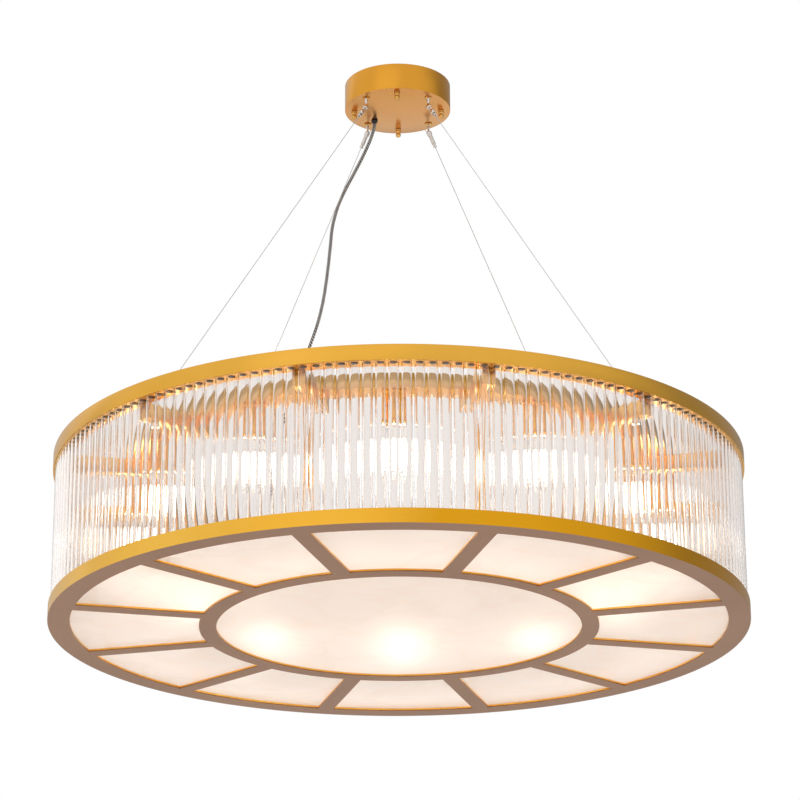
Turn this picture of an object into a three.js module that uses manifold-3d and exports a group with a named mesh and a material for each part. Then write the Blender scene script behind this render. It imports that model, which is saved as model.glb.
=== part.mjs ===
// Drum chandelier: a ceiling canopy, four steel cables and a round frame that carries a wall of
// hollow glass tubes, downward candle lights on a wiring channel, and frosted diffusers.
// Sizes are millimetres and +Z is up. The origin is the middle of the ceiling plate's top face.
// An azimuth is measured about +Z from the -Y side and grows towards +X.

import * as THREE from "three";
import { mergeVertices } from "three/addons/utils/BufferGeometryUtils.js";
import Module from "manifold-3d";

const wasm = await Module();
wasm.setup();

// Overall sizes of the chandelier
const hanging_height = 859;
const drum_radius = 500;
const drum_height = 244.4;

// Clearances and cutter overruns
const fit_gap = 0.3;
const weld_overlap = 0.5;
const cut_overrun = 1;
const merge_distance = 0.0001;

// Counts
const ring_sides = 48;
const small_ring_sides = 32;
const fitting_count = 4;
const lamp_count = 12;
const arm_count = 12;
const bank_count = 6;
const tube_sides = 5;
const bore_sides = 4;
const lamp_sides = 6;
const screw_sides = 6;
const ball_steps = 3;
// An arc of a Shape is drawn with this many points for each segment asked for.
const arc_share = 2;

// Ceiling bracket: a cross of two strips with a threaded stud near each end
const bracket_thickness = 2;
const bracket_width = 22;
const bracket_end_margin = 8;
const stud_radius = 2;
const stud_reach = 8;
const ceiling_screw_circle = 34;
const ceiling_screw_radius = 2.75;

// Canopy: a spun cup, open at the ceiling
const canopy_radius = 80;
const canopy_height = 41;
const canopy_wall = 1.5;
const canopy_edge_radius = 1.5;
const canopy_ceiling_gap = 0.8;
const fitting_circle = 66;
const stud_hole_gap = 0.5;

// Cap nuts that hold the canopy to the studs
const nut_height = 16;
const nut_flange_radius = 4.6;
const nut_flange_height = 2.5;
const nut_body_radius = 4;
const nut_body_end = 7;
const nut_waist_radius = 2.8;
const nut_waist_end = 8.5;
const nut_ball_radius = 3.7;
const nut_ball_middle = 12;
const nut_tip_radius = 2.2;

// Terminal block under the bracket
const block_length = 34;
const block_width = 18;
const block_height = 14;
const block_way_radius = 2.4;
const block_way_pitch = 10;

// Cord gland in the canopy floor
const gland_x = -36;
const gland_y = 33;
const gland_flange_radius = 4.9;
const gland_flange_height = 2;
const gland_nose_radius = 3.6;
const gland_height = 4.2;
const gland_neck_radius = 3.4;
const gland_neck_height = 4;

// Cable grips: a stem with a ball, and a swivelling barrel with a release plunger
const grip_drop = 13.2;
const grip_nut_radius = 5.5;
const grip_nut_height = 3;
const grip_shank_radius = 3;
const grip_base_radius = 5.6;
const grip_base_height = 1.2;
const grip_stem_radius = 2.2;
const grip_neck_radius = 1.4;
const grip_neck_length = 5;
const grip_ball_radius = 2.6;
const grip_cup_gap = 0.6;
const grip_cup_wall = 0.9;
const barrel_head_length = 5;
const barrel_radius = 3.1;
const barrel_length = 21;
const barrel_bore_depth = 8;
const plunger_radius = 2.1;
const plunger_bore_radius = 1.2;
const plunger_travel = 2;
const plunger_knob_radius = 2.8;
const plunger_knob_height = 3;

// Steel cables, each with a ball at its lower end
const cable_radius = 0.75;
const cable_sides = 6;
const cable_ball_radius = 3;
const anchor_inset = 29;
const anchor_rise = 3.9;
const socket_gap = 0.8;
const socket_wall = 1.2;
const socket_below_arm = 8;

// Upper ring: a flat-rolled band with a flange inside it
const band_thickness = 2;
const top_band_height = 22;
const flange_width = 23.7;
const flange_thickness = 2;
const rail_thickness = 3;

// Glass tubes
const tube_radius = 7.5;
const tube_wall = 1.7;
const tube_spacing = 2;
const tube_band_gap = 1.5;

// Lower frame: a cut plate of rings and spokes, with a band round it
const bottom_band_height = 20;
const frame_plate_thickness = 4;
const frame_rim_width = 31.5;
const centre_ring_inner_radius = 261;
const centre_ring_width = 24.5;
const spoke_width = 18;

// Frosted diffusers that lie on the lower frame
const diffuser_thickness = 3;
const diffuser_lap = 12;
const diffuser_edge_gap = 1;

// Wiring channel and the arms that carry it
const channel_inset = 109.5;
const channel_width = 35;
const channel_height = 21.4;
const channel_wall = 1.5;
const arm_width = 18;
const arm_height = 22;
const arm_inner_overlap = 31;
const arm_end_gap = 1;

// Cord entry on the wiring channel
const cord_azimuth = THREE.MathUtils.degToRad(-147);
const entry_plate_length = 26;
const entry_plate_thickness = 1.5;
const entry_boss_radius = 5.5;
const entry_boss_height = 6.5;

// Lampholders and candle lamps
const holder_radius = 14;
const holder_height = 37;
const socket_depth = 28;
const lamp_cap_radius = 7;
const lamp_cap_gap = 0.4;
const lamp_neck_radius = 12;
const lamp_neck_length = 17;
const lamp_shoulder_length = 6;
const lamp_body_radius = 16;
const lamp_body_length = 44;
const lamp_tip_length = 23;
const lamp_tip_radius = 9;

// Power cord
const cord_radius = 2.5;
const cord_sides = 8;
const cord_steps = 52;

// Levels and radii that follow from the sizes above
const canopy_top = -canopy_ceiling_gap;
const canopy_underside = canopy_top - canopy_height;
const canopy_floor = canopy_underside + canopy_wall;
const drum_floor = -hanging_height;
const drum_top = drum_floor + drum_height;
const band_inner_radius = drum_radius - band_thickness;
const flange_inner_radius = band_inner_radius - flange_width;
const tube_circle = band_inner_radius - tube_band_gap - tube_radius;
const anchor_circle = tube_circle - anchor_inset;
const lamp_circle = tube_circle - channel_inset;
const centre_ring_outer_radius = centre_ring_inner_radius + centre_ring_width;
const diffuser_split_radius = centre_ring_inner_radius + diffuser_lap;
const channel_outer_radius = lamp_circle + channel_width / 2;
const channel_inner_radius = lamp_circle - channel_width / 2;
const rail_underside = drum_top - top_band_height;
const flange_underside = rail_underside + rail_thickness;
const frame_plate_top = drum_floor + frame_plate_thickness;
const arm_top = rail_underside - fit_gap;
const arm_underside = arm_top - arm_height;
const channel_underside = arm_top - weld_overlap;
const channel_top = channel_underside + channel_height;
const holder_top = channel_underside - fit_gap;
const holder_underside = holder_top - holder_height;
const pivot_level = canopy_underside - grip_drop;
const anchor_level = arm_top + anchor_rise;
const full_turn = 2 * Math.PI;
const half_turn = Math.PI;

// Finishes
const brass = new THREE.MeshStandardMaterial({ color: 0xd9a23c, roughness: 0.22, metalness: 1 });
const warm_brass = new THREE.MeshStandardMaterial({ color: 0xc98f4a, roughness: 0.3, metalness: 1 });
const steel = new THREE.MeshStandardMaterial({ color: 0xb8b8b8, roughness: 0.35, metalness: 1 });
const chrome = new THREE.MeshStandardMaterial({ color: 0xdedcd8, roughness: 0.12, metalness: 1 });
const glass = new THREE.MeshStandardMaterial({ color: 0xf3ece4, roughness: 0.04, metalness: 0 });
const frosted = new THREE.MeshStandardMaterial({ color: 0xfaf1e4, roughness: 0.55, metalness: 0 });
const lit_glass = new THREE.MeshStandardMaterial({ color: 0xfff4e0, roughness: 0.2, metalness: 0 });
const nylon = new THREE.MeshStandardMaterial({ color: 0x1c1c1e, roughness: 0.5, metalness: 0 });
const white_plastic = new THREE.MeshStandardMaterial({ color: 0xe9e6df, roughness: 0.5, metalness: 0 });
const cord_jacket = new THREE.MeshStandardMaterial({ color: 0x3a3633, roughness: 0.45, metalness: 0 });

const chandelier = new THREE.Group();

// A copy of a material for each mesh keeps every sub-part's finish its own.
function addPiece(parent, name, geometry, finish) {
  const mesh = new THREE.Mesh(geometry, finish.clone());
  mesh.name = name;
  parent.add(mesh);
  return mesh;
}

// A group turned to an azimuth, in which -Y is the outward direction.
function addSpoke(azimuth) {
  const spoke = new THREE.Group();
  spoke.rotation.z = azimuth;
  chandelier.add(spoke);
  return spoke;
}

// Revolves [radius, height] points about Z. The profile runs down the outside.
function turned(profile, sides) {
  const points = profile.map(([radius, height]) => new THREE.Vector2(radius, height));
  const geometry = new THREE.LatheGeometry(points.reverse(), sides);
  return geometry.rotateX(half_turn / 2);
}

// A closed revolve: its last point returns to the first.
function turnedRing(profile, sides) {
  return turned([...profile, profile[0]], sides);
}

function post(radius, low, high, sides) {
  return turned([[0, high], [radius, high], [radius, low], [0, low]], sides);
}

function block(width, length, low, high) {
  const geometry = new THREE.BoxGeometry(width, length, high - low);
  return geometry.translate(0, 0, (low + high) / 2);
}

function toSolid(geometry) {
  const bare = geometry.clone();
  bare.deleteAttribute("normal");
  bare.deleteAttribute("uv");
  const merged = mergeVertices(bare, merge_distance);
  return new wasm.Manifold(new wasm.Mesh({
    numProp: 3,
    vertProperties: new Float32Array(merged.attributes.position.array),
    triVerts: new Uint32Array(merged.index.array),
  }));
}

function toGeometry(solid) {
  const { vertProperties, triVerts } = solid.getMesh();
  const geometry = new THREE.BufferGeometry();
  geometry.setAttribute("position", new THREE.BufferAttribute(vertProperties, 3));
  geometry.setIndex(new THREE.BufferAttribute(triVerts, 1));
  return geometry;
}

function joined(base, additions) {
  return additions.reduce((solid, geometry) => solid.add(toSolid(geometry)), base);
}

function cut(base, cutters) {
  return cutters.reduce((solid, geometry) => solid.subtract(toSolid(geometry)), base);
}

// One copy of a shape for each azimuth.
function around(count, first_azimuth, makeGeometry) {
  return Array.from({ length: count }, (_, index) => {
    return makeGeometry().rotateZ(first_azimuth + (index * full_turn) / count);
  });
}

// The lower part of a ball as profile points, from a start angle off the pole down to the axis.
function ballProfile(radius, centre, start_angle, steps) {
  return Array.from({ length: steps + 1 }, (_, index) => {
    const angle = start_angle + ((half_turn - start_angle) * index) / steps;
    const reach = index === steps ? 0 : radius * Math.sin(angle);
    return [reach, centre + radius * Math.cos(angle)];
  });
}

// Ceiling bracket with its studs
function makeBracket() {
  const strip_length = 2 * (fitting_circle + bracket_end_margin);
  const strip = block(bracket_width, strip_length, -bracket_thickness, 0);
  const crossing = block(strip_length, bracket_width, -bracket_thickness, 0);
  const stud_end = canopy_underside - stud_reach;
  const studs = around(fitting_count, 0, () => {
    return post(stud_radius, stud_end, -bracket_thickness / 2, screw_sides).translate(0, -fitting_circle, 0);
  });
  const hole_low = -bracket_thickness - cut_overrun;
  const screw_holes = around(fitting_count, 0, () => {
    return post(ceiling_screw_radius, hole_low, cut_overrun, screw_sides)
      .translate(0, -ceiling_screw_circle, 0);
  });
  const plate = joined(toSolid(strip), [crossing, ...studs]);
  return toGeometry(cut(plate, screw_holes));
}

// Canopy shell with holes for the studs, the grips and the gland
function makeCanopy() {
  const inner_radius = canopy_radius - canopy_wall;
  const edge = canopy_edge_radius;
  const edge_turn = half_turn / 4;
  const edge_middle = [
    canopy_radius - edge + edge * Math.cos(edge_turn),
    canopy_underside + edge - edge * Math.sin(edge_turn),
  ];
  const shell = turned([
    [0, canopy_floor],
    [inner_radius, canopy_floor],
    [inner_radius, canopy_top],
    [canopy_radius, canopy_top],
    [canopy_radius, canopy_underside + edge],
    edge_middle,
    [canopy_radius - edge, canopy_underside],
    [0, canopy_underside],
  ], small_ring_sides);
  const low = canopy_underside - cut_overrun;
  const high = canopy_floor + cut_overrun;
  const stud_holes = around(fitting_count, 0, () => {
    return post(stud_radius + stud_hole_gap, low, high, screw_sides).translate(0, -fitting_circle, 0);
  });
  const grip_holes = around(fitting_count, half_turn / fitting_count, () => {
    return post(grip_shank_radius + fit_gap, low, high, screw_sides).translate(0, -fitting_circle, 0);
  });
  const gland_hole = post(gland_neck_radius + fit_gap, low, high, screw_sides)
    .translate(gland_x, gland_y, 0);
  return toGeometry(cut(toSolid(shell), [...stud_holes, ...grip_holes, gland_hole]));
}

// Cap nut with a blind bore for its stud
function makeCapNut() {
  const seat = canopy_underside - fit_gap;
  const bore_radius = stud_radius + fit_gap;
  const bore_end = canopy_underside - stud_reach - fit_gap;
  return turned([
    [0, bore_end],
    [bore_radius, bore_end],
    [bore_radius, seat],
    [nut_flange_radius, seat],
    [nut_flange_radius, seat - nut_flange_height],
    [nut_body_radius, seat - nut_flange_height],
    [nut_body_radius, seat - nut_body_end],
    [nut_waist_radius, seat - nut_waist_end],
    [nut_ball_radius, seat - nut_ball_middle],
    [nut_tip_radius, seat - nut_height],
    [0, seat - nut_height],
  ], screw_sides);
}

function makeTerminalBlock() {
  const top = -bracket_thickness - fit_gap;
  const body = block(block_length, block_width, top - block_height, top);
  const ways = [-block_way_pitch, 0, block_way_pitch].map((offset) => {
    const half_width = block_width / 2 + cut_overrun;
    return post(block_way_radius, -half_width, half_width, screw_sides)
      .rotateX(half_turn / 2)
      .translate(offset, 0, top - block_height / 2);
  });
  return toGeometry(cut(toSolid(body), ways));
}

function makeGland() {
  const seat = canopy_underside - fit_gap;
  return turned([
    [0, canopy_floor + gland_neck_height],
    [gland_neck_radius, canopy_floor + gland_neck_height],
    [gland_neck_radius, seat],
    [gland_flange_radius, seat],
    [gland_flange_radius, seat - gland_flange_height],
    [gland_nose_radius, seat - gland_height],
    [0, seat - gland_height],
  ], screw_sides);
}

// Grip stem: lock nut inside the canopy, base washer outside, and a ball at its foot
function makeGripStem() {
  const nut_seat = canopy_floor + fit_gap;
  const base_seat = canopy_underside - fit_gap;
  const neck_top = pivot_level + grip_neck_length;
  const neck_angle = Math.asin(grip_neck_radius / grip_ball_radius);
  return turned([
    [0, nut_seat + grip_nut_height],
    [grip_nut_radius, nut_seat + grip_nut_height],
    [grip_nut_radius, nut_seat],
    [grip_shank_radius, nut_seat],
    [grip_shank_radius, base_seat],
    [grip_base_radius, base_seat],
    [grip_base_radius, base_seat - grip_base_height],
    [grip_stem_radius, base_seat - grip_base_height],
    [grip_stem_radius, neck_top],
    [grip_neck_radius, neck_top - grip_stem_radius / 2],
    ...ballProfile(grip_ball_radius, pivot_level, neck_angle, ball_steps),
  ], screw_sides);
}

// Barrel, plunger and cable are drawn hanging from their pivot at height 0.
const barrel_bore_end = -barrel_length + barrel_bore_depth;

function makeGripBarrel() {
  const cup_radius = grip_ball_radius + grip_cup_gap;
  const head_radius = cup_radius + grip_cup_wall;
  const bore_radius = plunger_radius + fit_gap;
  const rim_angle = half_turn / 2 - half_turn / 18;
  const cup = ballProfile(cup_radius, 0, rim_angle, ball_steps).reverse();
  return turned([
    ...cup,
    [head_radius, cup[ball_steps][1]],
    [head_radius, -barrel_head_length],
    [barrel_radius, -barrel_head_length - cup_radius / 2],
    [barrel_radius, -barrel_length],
    [bore_radius, -barrel_length],
    [bore_radius, barrel_bore_end],
    [0, barrel_bore_end],
  ], screw_sides);
}

function makeGripPlunger() {
  const top = barrel_bore_end - fit_gap - plunger_travel;
  const knob_top = -barrel_length - fit_gap - plunger_travel;
  const knob_end = knob_top - plunger_knob_height;
  return turnedRing([
    [plunger_radius, top],
    [plunger_radius, knob_top],
    [plunger_knob_radius, knob_top],
    [plunger_knob_radius, knob_end],
    [plunger_bore_radius, knob_end],
    [plunger_bore_radius, top],
  ], screw_sides);
}

function makeCable(length) {
  const ball_angle = Math.asin(cable_radius / cable_ball_radius);
  return turned([
    [0, barrel_bore_end - fit_gap],
    [cable_radius, barrel_bore_end - fit_gap],
    ...ballProfile(cable_ball_radius, -length, ball_angle, ball_steps),
  ], cable_sides);
}

// Upper ring: the band and the flange that the tube rails hang from
function makeUpperRing() {
  return turnedRing([
    [drum_radius, drum_top],
    [drum_radius, rail_underside],
    [band_inner_radius, rail_underside],
    [band_inner_radius, flange_underside + fit_gap],
    [flange_inner_radius, flange_underside + fit_gap],
    [flange_inner_radius, flange_underside + fit_gap + flange_thickness],
    [band_inner_radius, flange_underside + fit_gap + flange_thickness],
    [band_inner_radius, drum_top],
  ], ring_sides);
}

// One bank of glass tubes, drawn about azimuth 0: hollow tubes fused to their hanger rail.
// The tubes stand on the lower frame and their bores are blind at the rail.
function makeTubeBank() {
  const bank_angle = full_turn / bank_count;
  const tubes_in_bank = Math.floor((bank_angle * tube_circle) / (2 * tube_radius + tube_spacing));
  const tube_pitch = bank_angle / tubes_in_bank;
  const end_gap_angle = fit_gap / tube_circle;
  const half_bank = (bank_angle - end_gap_angle) / 2;
  const rail_outer_radius = band_inner_radius - fit_gap;
  const middle = -half_turn / 2;
  const outline = new THREE.Shape();
  outline.absarc(0, 0, rail_outer_radius, middle - half_bank, middle + half_bank, false);
  outline.absarc(0, 0, flange_inner_radius, middle + half_bank, middle - half_bank, true);
  const rail = new THREE.ExtrudeGeometry(outline, {
    depth: rail_thickness,
    bevelEnabled: false,
    curveSegments: ring_sides / bank_count / arc_share,
  }).translate(0, 0, rail_underside);
  const tube_foot = frame_plate_top + fit_gap;
  const tubes = [];
  const bores = [];
  for (let index = 0; index < tubes_in_bank; index += 1) {
    const azimuth = (index - (tubes_in_bank - 1) / 2) * tube_pitch;
    const tube_top = rail_underside + rail_thickness / 2;
    const tube = post(tube_radius, tube_foot, tube_top, tube_sides);
    const bore = post(tube_radius - tube_wall, tube_foot - cut_overrun, rail_underside, bore_sides);
    tubes.push(tube.translate(0, -tube_circle, 0).rotateZ(azimuth));
    bores.push(bore.rotateZ(half_turn / bore_sides).translate(0, -tube_circle, 0).rotateZ(azimuth));
  }
  return toGeometry(cut(joined(toSolid(rail), tubes), bores));
}

// Lower frame: rim with its band, spokes and centre ring, cut from one plate
function makeBottomFrame() {
  const rim_inner_radius = drum_radius - frame_rim_width;
  const rim = turnedRing([
    [drum_radius, drum_floor + bottom_band_height],
    [drum_radius, drum_floor],
    [rim_inner_radius, drum_floor],
    [rim_inner_radius, frame_plate_top],
    [band_inner_radius, frame_plate_top],
    [band_inner_radius, drum_floor + bottom_band_height],
  ], ring_sides);
  const centre_ring = turnedRing([
    [centre_ring_outer_radius, frame_plate_top],
    [centre_ring_outer_radius, drum_floor],
    [centre_ring_inner_radius, drum_floor],
    [centre_ring_inner_radius, frame_plate_top],
  ], small_ring_sides);
  const spoke_start = (centre_ring_inner_radius + centre_ring_outer_radius) / 2;
  const spoke_end = rim_inner_radius + frame_rim_width / 2;
  const spokes = around(arm_count, half_turn / arm_count, () => {
    return block(spoke_width, spoke_end - spoke_start, drum_floor, frame_plate_top)
      .translate(0, -(spoke_start + spoke_end) / 2, 0);
  });
  return toGeometry(joined(toSolid(rim), [centre_ring, ...spokes]));
}

function makeCentreDiffuser() {
  const low = frame_plate_top + fit_gap;
  const radius = diffuser_split_radius - diffuser_edge_gap / 2;
  return post(radius, low, low + diffuser_thickness, small_ring_sides);
}

function makeOuterDiffuser() {
  const low = frame_plate_top + fit_gap;
  const high = low + diffuser_thickness;
  const inner_radius = diffuser_split_radius + diffuser_edge_gap / 2;
  const outer_radius = tube_circle - tube_radius - diffuser_edge_gap;
  return turnedRing([
    [outer_radius, high],
    [outer_radius, low],
    [inner_radius, low],
    [inner_radius, high],
  ], small_ring_sides);
}

// Wiring channel, its arms, the cable sockets and the cord entry, welded together
function makeLampCarrier() {
  const channel = turnedRing([
    [channel_outer_radius, channel_top],
    [channel_outer_radius, channel_underside],
    [channel_inner_radius, channel_underside],
    [channel_inner_radius, channel_top],
    [channel_inner_radius + channel_wall, channel_top],
    [channel_inner_radius + channel_wall, channel_underside + channel_wall],
    [channel_outer_radius - channel_wall, channel_underside + channel_wall],
    [channel_outer_radius - channel_wall, channel_top],
  ], small_ring_sides);
  const arm_start = channel_outer_radius - arm_inner_overlap;
  const arm_end = tube_circle - tube_radius - arm_end_gap;
  const arms = around(arm_count, half_turn / arm_count, () => {
    return block(arm_width, arm_end - arm_start, arm_underside, arm_top)
      .translate(0, -(arm_start + arm_end) / 2, 0);
  });
  const cup_radius = cable_ball_radius + socket_gap;
  const socket_radius = cup_radius + socket_wall;
  const rim_angle = half_turn / 2 - half_turn / 18;
  const cup = ballProfile(cup_radius, anchor_level, rim_angle, ball_steps).reverse();
  const sockets = around(fitting_count, half_turn / fitting_count, () => {
    return turned([
      ...cup,
      [socket_radius, cup[ball_steps][1]],
      [socket_radius, arm_underside - socket_below_arm],
      [0, arm_underside - socket_below_arm],
    ], screw_sides).translate(0, -anchor_circle, 0);
  });
  const plate_top = channel_top + entry_plate_thickness;
  const plate_width = channel_width - channel_wall;
  const entry_plate = block(entry_plate_length, plate_width, channel_top - weld_overlap, plate_top)
    .translate(0, -lamp_circle, 0)
    .rotateZ(cord_azimuth);
  const entry_boss = post(entry_boss_radius, channel_top, plate_top + entry_boss_height, screw_sides)
    .translate(0, -lamp_circle, 0)
    .rotateZ(cord_azimuth);
  return toGeometry(joined(toSolid(channel), [...arms, ...sockets, entry_plate, entry_boss]));
}

function makeLampholder() {
  const bore_radius = lamp_cap_radius + lamp_cap_gap;
  const bore_top = holder_underside + socket_depth;
  return turned([
    [0, holder_top],
    [holder_radius, holder_top],
    [holder_radius, holder_underside],
    [bore_radius, holder_underside],
    [bore_radius, bore_top],
    [0, bore_top],
  ], lamp_sides);
}

// Candle lamp: screw cap, faceted neck, lit body and a crystal tip
function makeLamp() {
  const neck_top = holder_underside - fit_gap;
  const neck_end = neck_top - lamp_neck_length;
  const body_top = neck_end - lamp_shoulder_length;
  const body_end = body_top - lamp_body_length;
  const tip = body_end - lamp_tip_length;
  const cap_top = holder_underside + socket_depth - fit_gap;
  return turned([
    [0, cap_top],
    [lamp_cap_radius, cap_top],
    [lamp_cap_radius, neck_top],
    [lamp_neck_radius, neck_top],
    [lamp_neck_radius, neck_end],
    [lamp_body_radius, body_top],
    [lamp_body_radius, body_end],
    [lamp_tip_radius, tip],
    [0, tip],
  ], lamp_sides);
}

// The cord's route from the gland to its entry on the wiring channel, chosen by hand
const cord_route = [
  [-36, 33, -46.6], [-36, 33, -51], [-41, 43, -65], [-54, 63, -87], [-68, 86, -105],
  [-83, 111, -123], [-94, 130, -140], [-100, 140, -156], [-104, 146, -172], [-107, 152, -200],
  [-110, 157, -228], [-114, 164, -258], [-119, 172, -286], [-127, 185, -314], [-140, 207, -344],
  [-155, 232, -374], [-170, 257, -407], [-184, 281, -443], [-195, 300, -483], [-203, 313, -527],
  [-206.7, 318.3, -570], [-206.7, 318.3, -596], [-206.7, 318.3, -607.5],
];

function makeCord() {
  const section = new THREE.Shape();
  section.absarc(0, 0, cord_radius, 0, full_turn, false);
  const route = new THREE.CatmullRomCurve3(
    cord_route.map(([x, y, z]) => new THREE.Vector3(x, y, z)),
    false,
    "centripetal",
  );
  return new THREE.ExtrudeGeometry(section, {
    steps: cord_steps,
    curveSegments: cord_sides / arc_share,
    extrudePath: route,
  });
}

// Canopy group
addPiece(chandelier, "ceiling_bracket", makeBracket(), steel);
addPiece(chandelier, "canopy_shell", makeCanopy(), brass);
addPiece(chandelier, "terminal_block", makeTerminalBlock(), white_plastic);
addPiece(chandelier, "cord_gland", makeGland().translate(gland_x, gland_y, 0), nylon);
addPiece(chandelier, "power_cord", makeCord(), cord_jacket);

// Nuts on the straight azimuths, grips and cables on the diagonals
const cable_line = new THREE.Vector3(0, fitting_circle - anchor_circle, anchor_level - pivot_level);
const cable_length = cable_line.length();
const cable_down = new THREE.Vector3(0, 0, -1);
const cable_tilt = new THREE.Quaternion().setFromUnitVectors(cable_down, cable_line.clone().normalize());
for (let index = 0; index < fitting_count; index += 1) {
  const nut_spoke = addSpoke((index * full_turn) / fitting_count);
  addPiece(nut_spoke, `cap_nut_${index + 1}`, makeCapNut(), brass).position.y = -fitting_circle;

  const grip_spoke = addSpoke(((index + 1 / 2) * full_turn) / fitting_count);
  addPiece(grip_spoke, `grip_stem_${index + 1}`, makeGripStem(), chrome).position.y = -fitting_circle;
  const hanging = new THREE.Group();
  hanging.position.set(0, -fitting_circle, pivot_level);
  hanging.quaternion.copy(cable_tilt);
  grip_spoke.add(hanging);
  addPiece(hanging, `grip_barrel_${index + 1}`, makeGripBarrel(), chrome);
  addPiece(hanging, `grip_plunger_${index + 1}`, makeGripPlunger(), chrome);
  addPiece(hanging, `suspension_cable_${index + 1}`, makeCable(cable_length), steel);
}

// Drum
addPiece(chandelier, "upper_ring", makeUpperRing(), brass);
addPiece(chandelier, "bottom_frame", makeBottomFrame(), brass);
addPiece(chandelier, "centre_diffuser", makeCentreDiffuser(), frosted);
addPiece(chandelier, "outer_diffuser", makeOuterDiffuser(), frosted);
addPiece(chandelier, "lamp_carrier", makeLampCarrier(), warm_brass);
const tube_bank = makeTubeBank();
for (let index = 0; index < bank_count; index += 1) {
  const azimuth = half_turn / arm_count + ((index + 1 / 2) * full_turn) / bank_count;
  addPiece(addSpoke(azimuth), `glass_tube_bank_${index + 1}`, tube_bank, glass);
}
for (let index = 0; index < lamp_count; index += 1) {
  const spoke = addSpoke((index * full_turn) / lamp_count);
  const label = String(index + 1).padStart(2, "0");
  addPiece(spoke, `lampholder_${label}`, makeLampholder(), brass).position.y = -lamp_circle;
  addPiece(spoke, `candle_lamp_${label}`, makeLamp(), lit_glass).position.y = -lamp_circle;
}

export default chandelier;
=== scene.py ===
"""Looks of the drum chandelier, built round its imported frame.

Lengths are millimetres and are turned to metres where a mesh is made. +Z is up and the origin is the
middle of the ceiling plate. An azimuth is measured about +Z from the -Y side and grows towards +X.
"""

import logging
import math
from collections.abc import Iterable, Sequence
from dataclasses import dataclass
from enum import Enum

import bmesh
import bpy
from bpy.types import Material, Mesh, Node, NodeSocket, Object, World
from mathutils import Matrix, Vector


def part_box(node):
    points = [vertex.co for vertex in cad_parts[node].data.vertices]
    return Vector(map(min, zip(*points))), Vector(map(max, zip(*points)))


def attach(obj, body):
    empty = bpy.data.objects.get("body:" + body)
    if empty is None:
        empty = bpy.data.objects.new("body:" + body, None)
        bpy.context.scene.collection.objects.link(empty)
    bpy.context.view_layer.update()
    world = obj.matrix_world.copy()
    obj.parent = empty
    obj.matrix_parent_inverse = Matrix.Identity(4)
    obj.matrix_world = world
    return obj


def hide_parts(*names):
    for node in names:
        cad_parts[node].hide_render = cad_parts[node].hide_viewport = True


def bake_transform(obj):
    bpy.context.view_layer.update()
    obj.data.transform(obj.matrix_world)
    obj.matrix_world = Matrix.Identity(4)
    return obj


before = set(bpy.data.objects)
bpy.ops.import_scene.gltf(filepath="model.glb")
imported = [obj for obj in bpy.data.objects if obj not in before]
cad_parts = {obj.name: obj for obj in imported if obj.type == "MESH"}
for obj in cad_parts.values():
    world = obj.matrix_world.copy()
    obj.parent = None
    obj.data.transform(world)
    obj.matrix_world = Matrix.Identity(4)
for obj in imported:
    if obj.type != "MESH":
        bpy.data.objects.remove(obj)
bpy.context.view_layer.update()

log = logging.getLogger("chandelier")

Outline = Sequence[tuple[float, float]]
Point = tuple[float, float, float]
Colour = tuple[float, float, float, float]
Inputs = dict[str | int, object]
Shape = bmesh.types.BMesh
Face = bmesh.types.BMFace

MM = 0.001
FULL_TURN = 2 * math.pi
AXIS_REACH = 1e-6
MERGE_DISTANCE = 2e-6
CUT_DISTANCE = 1e-7
FACES_DOWN = -0.7
FIT_GAP = 0.3
GRAIN_DEPTH = 0.05
CLOUD_RANGE = (0.35, 0.68)
GRIPS = 4
LAMPS = 12
WHITE: Colour = (1.0, 1.0, 1.0, 1.0)
SATIN = {"grain_scale": 240.0, "grain_strength": 0.0015, "roughness_spread": 0.012}


class Body(str, Enum):
    """The two large bodies of the frame."""

    CANOPY = "canopy"
    DRUM = "drum"


class Slot(str, Enum):
    """Material slots of the record."""

    BRACKET_STEEL = "bracket_steel"
    POLISHED_BRASS = "polished_brass"
    TERMINAL_PLASTIC = "terminal_plastic"
    GLAND_NYLON = "gland_nylon"
    CORD_JACKET = "cord_jacket"
    NUT_BRASS = "nut_brass"
    GRIP_CHROME = "grip_chrome"
    CABLE_STEEL = "cable_steel"
    BRUSHED_BRASS = "brushed_brass"
    WARM_BRASS = "warm_brass"
    FROSTED_ACRYLIC = "frosted_acrylic"
    CHANNEL_BRASS = "channel_brass"
    TUBE_GLASS = "tube_glass"
    HOLDER_BRASS = "holder_brass"
    LAMP_GLOW = "lamp_glow"


class Grain(Enum):
    """Direction in which a metal was brushed."""

    ROUND = "round the axis"
    UPRIGHT = "along the height"
    NONE = "no direction"


def srgb(code: str) -> Colour:
    """Turns a colour code into linear light.

    Args:
        code: Six hexadecimal digits.

    Returns:
        Red, green, blue and full alpha.
    """
    channels = [int(code[start:start + 2], 16) / 255 for start in (0, 2, 4)]
    linear = [c / 12.92 if c <= 0.04045 else ((c + 0.055) / 1.055) ** 2.4 for c in channels]
    return (linear[0], linear[1], linear[2], 1.0)


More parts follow.
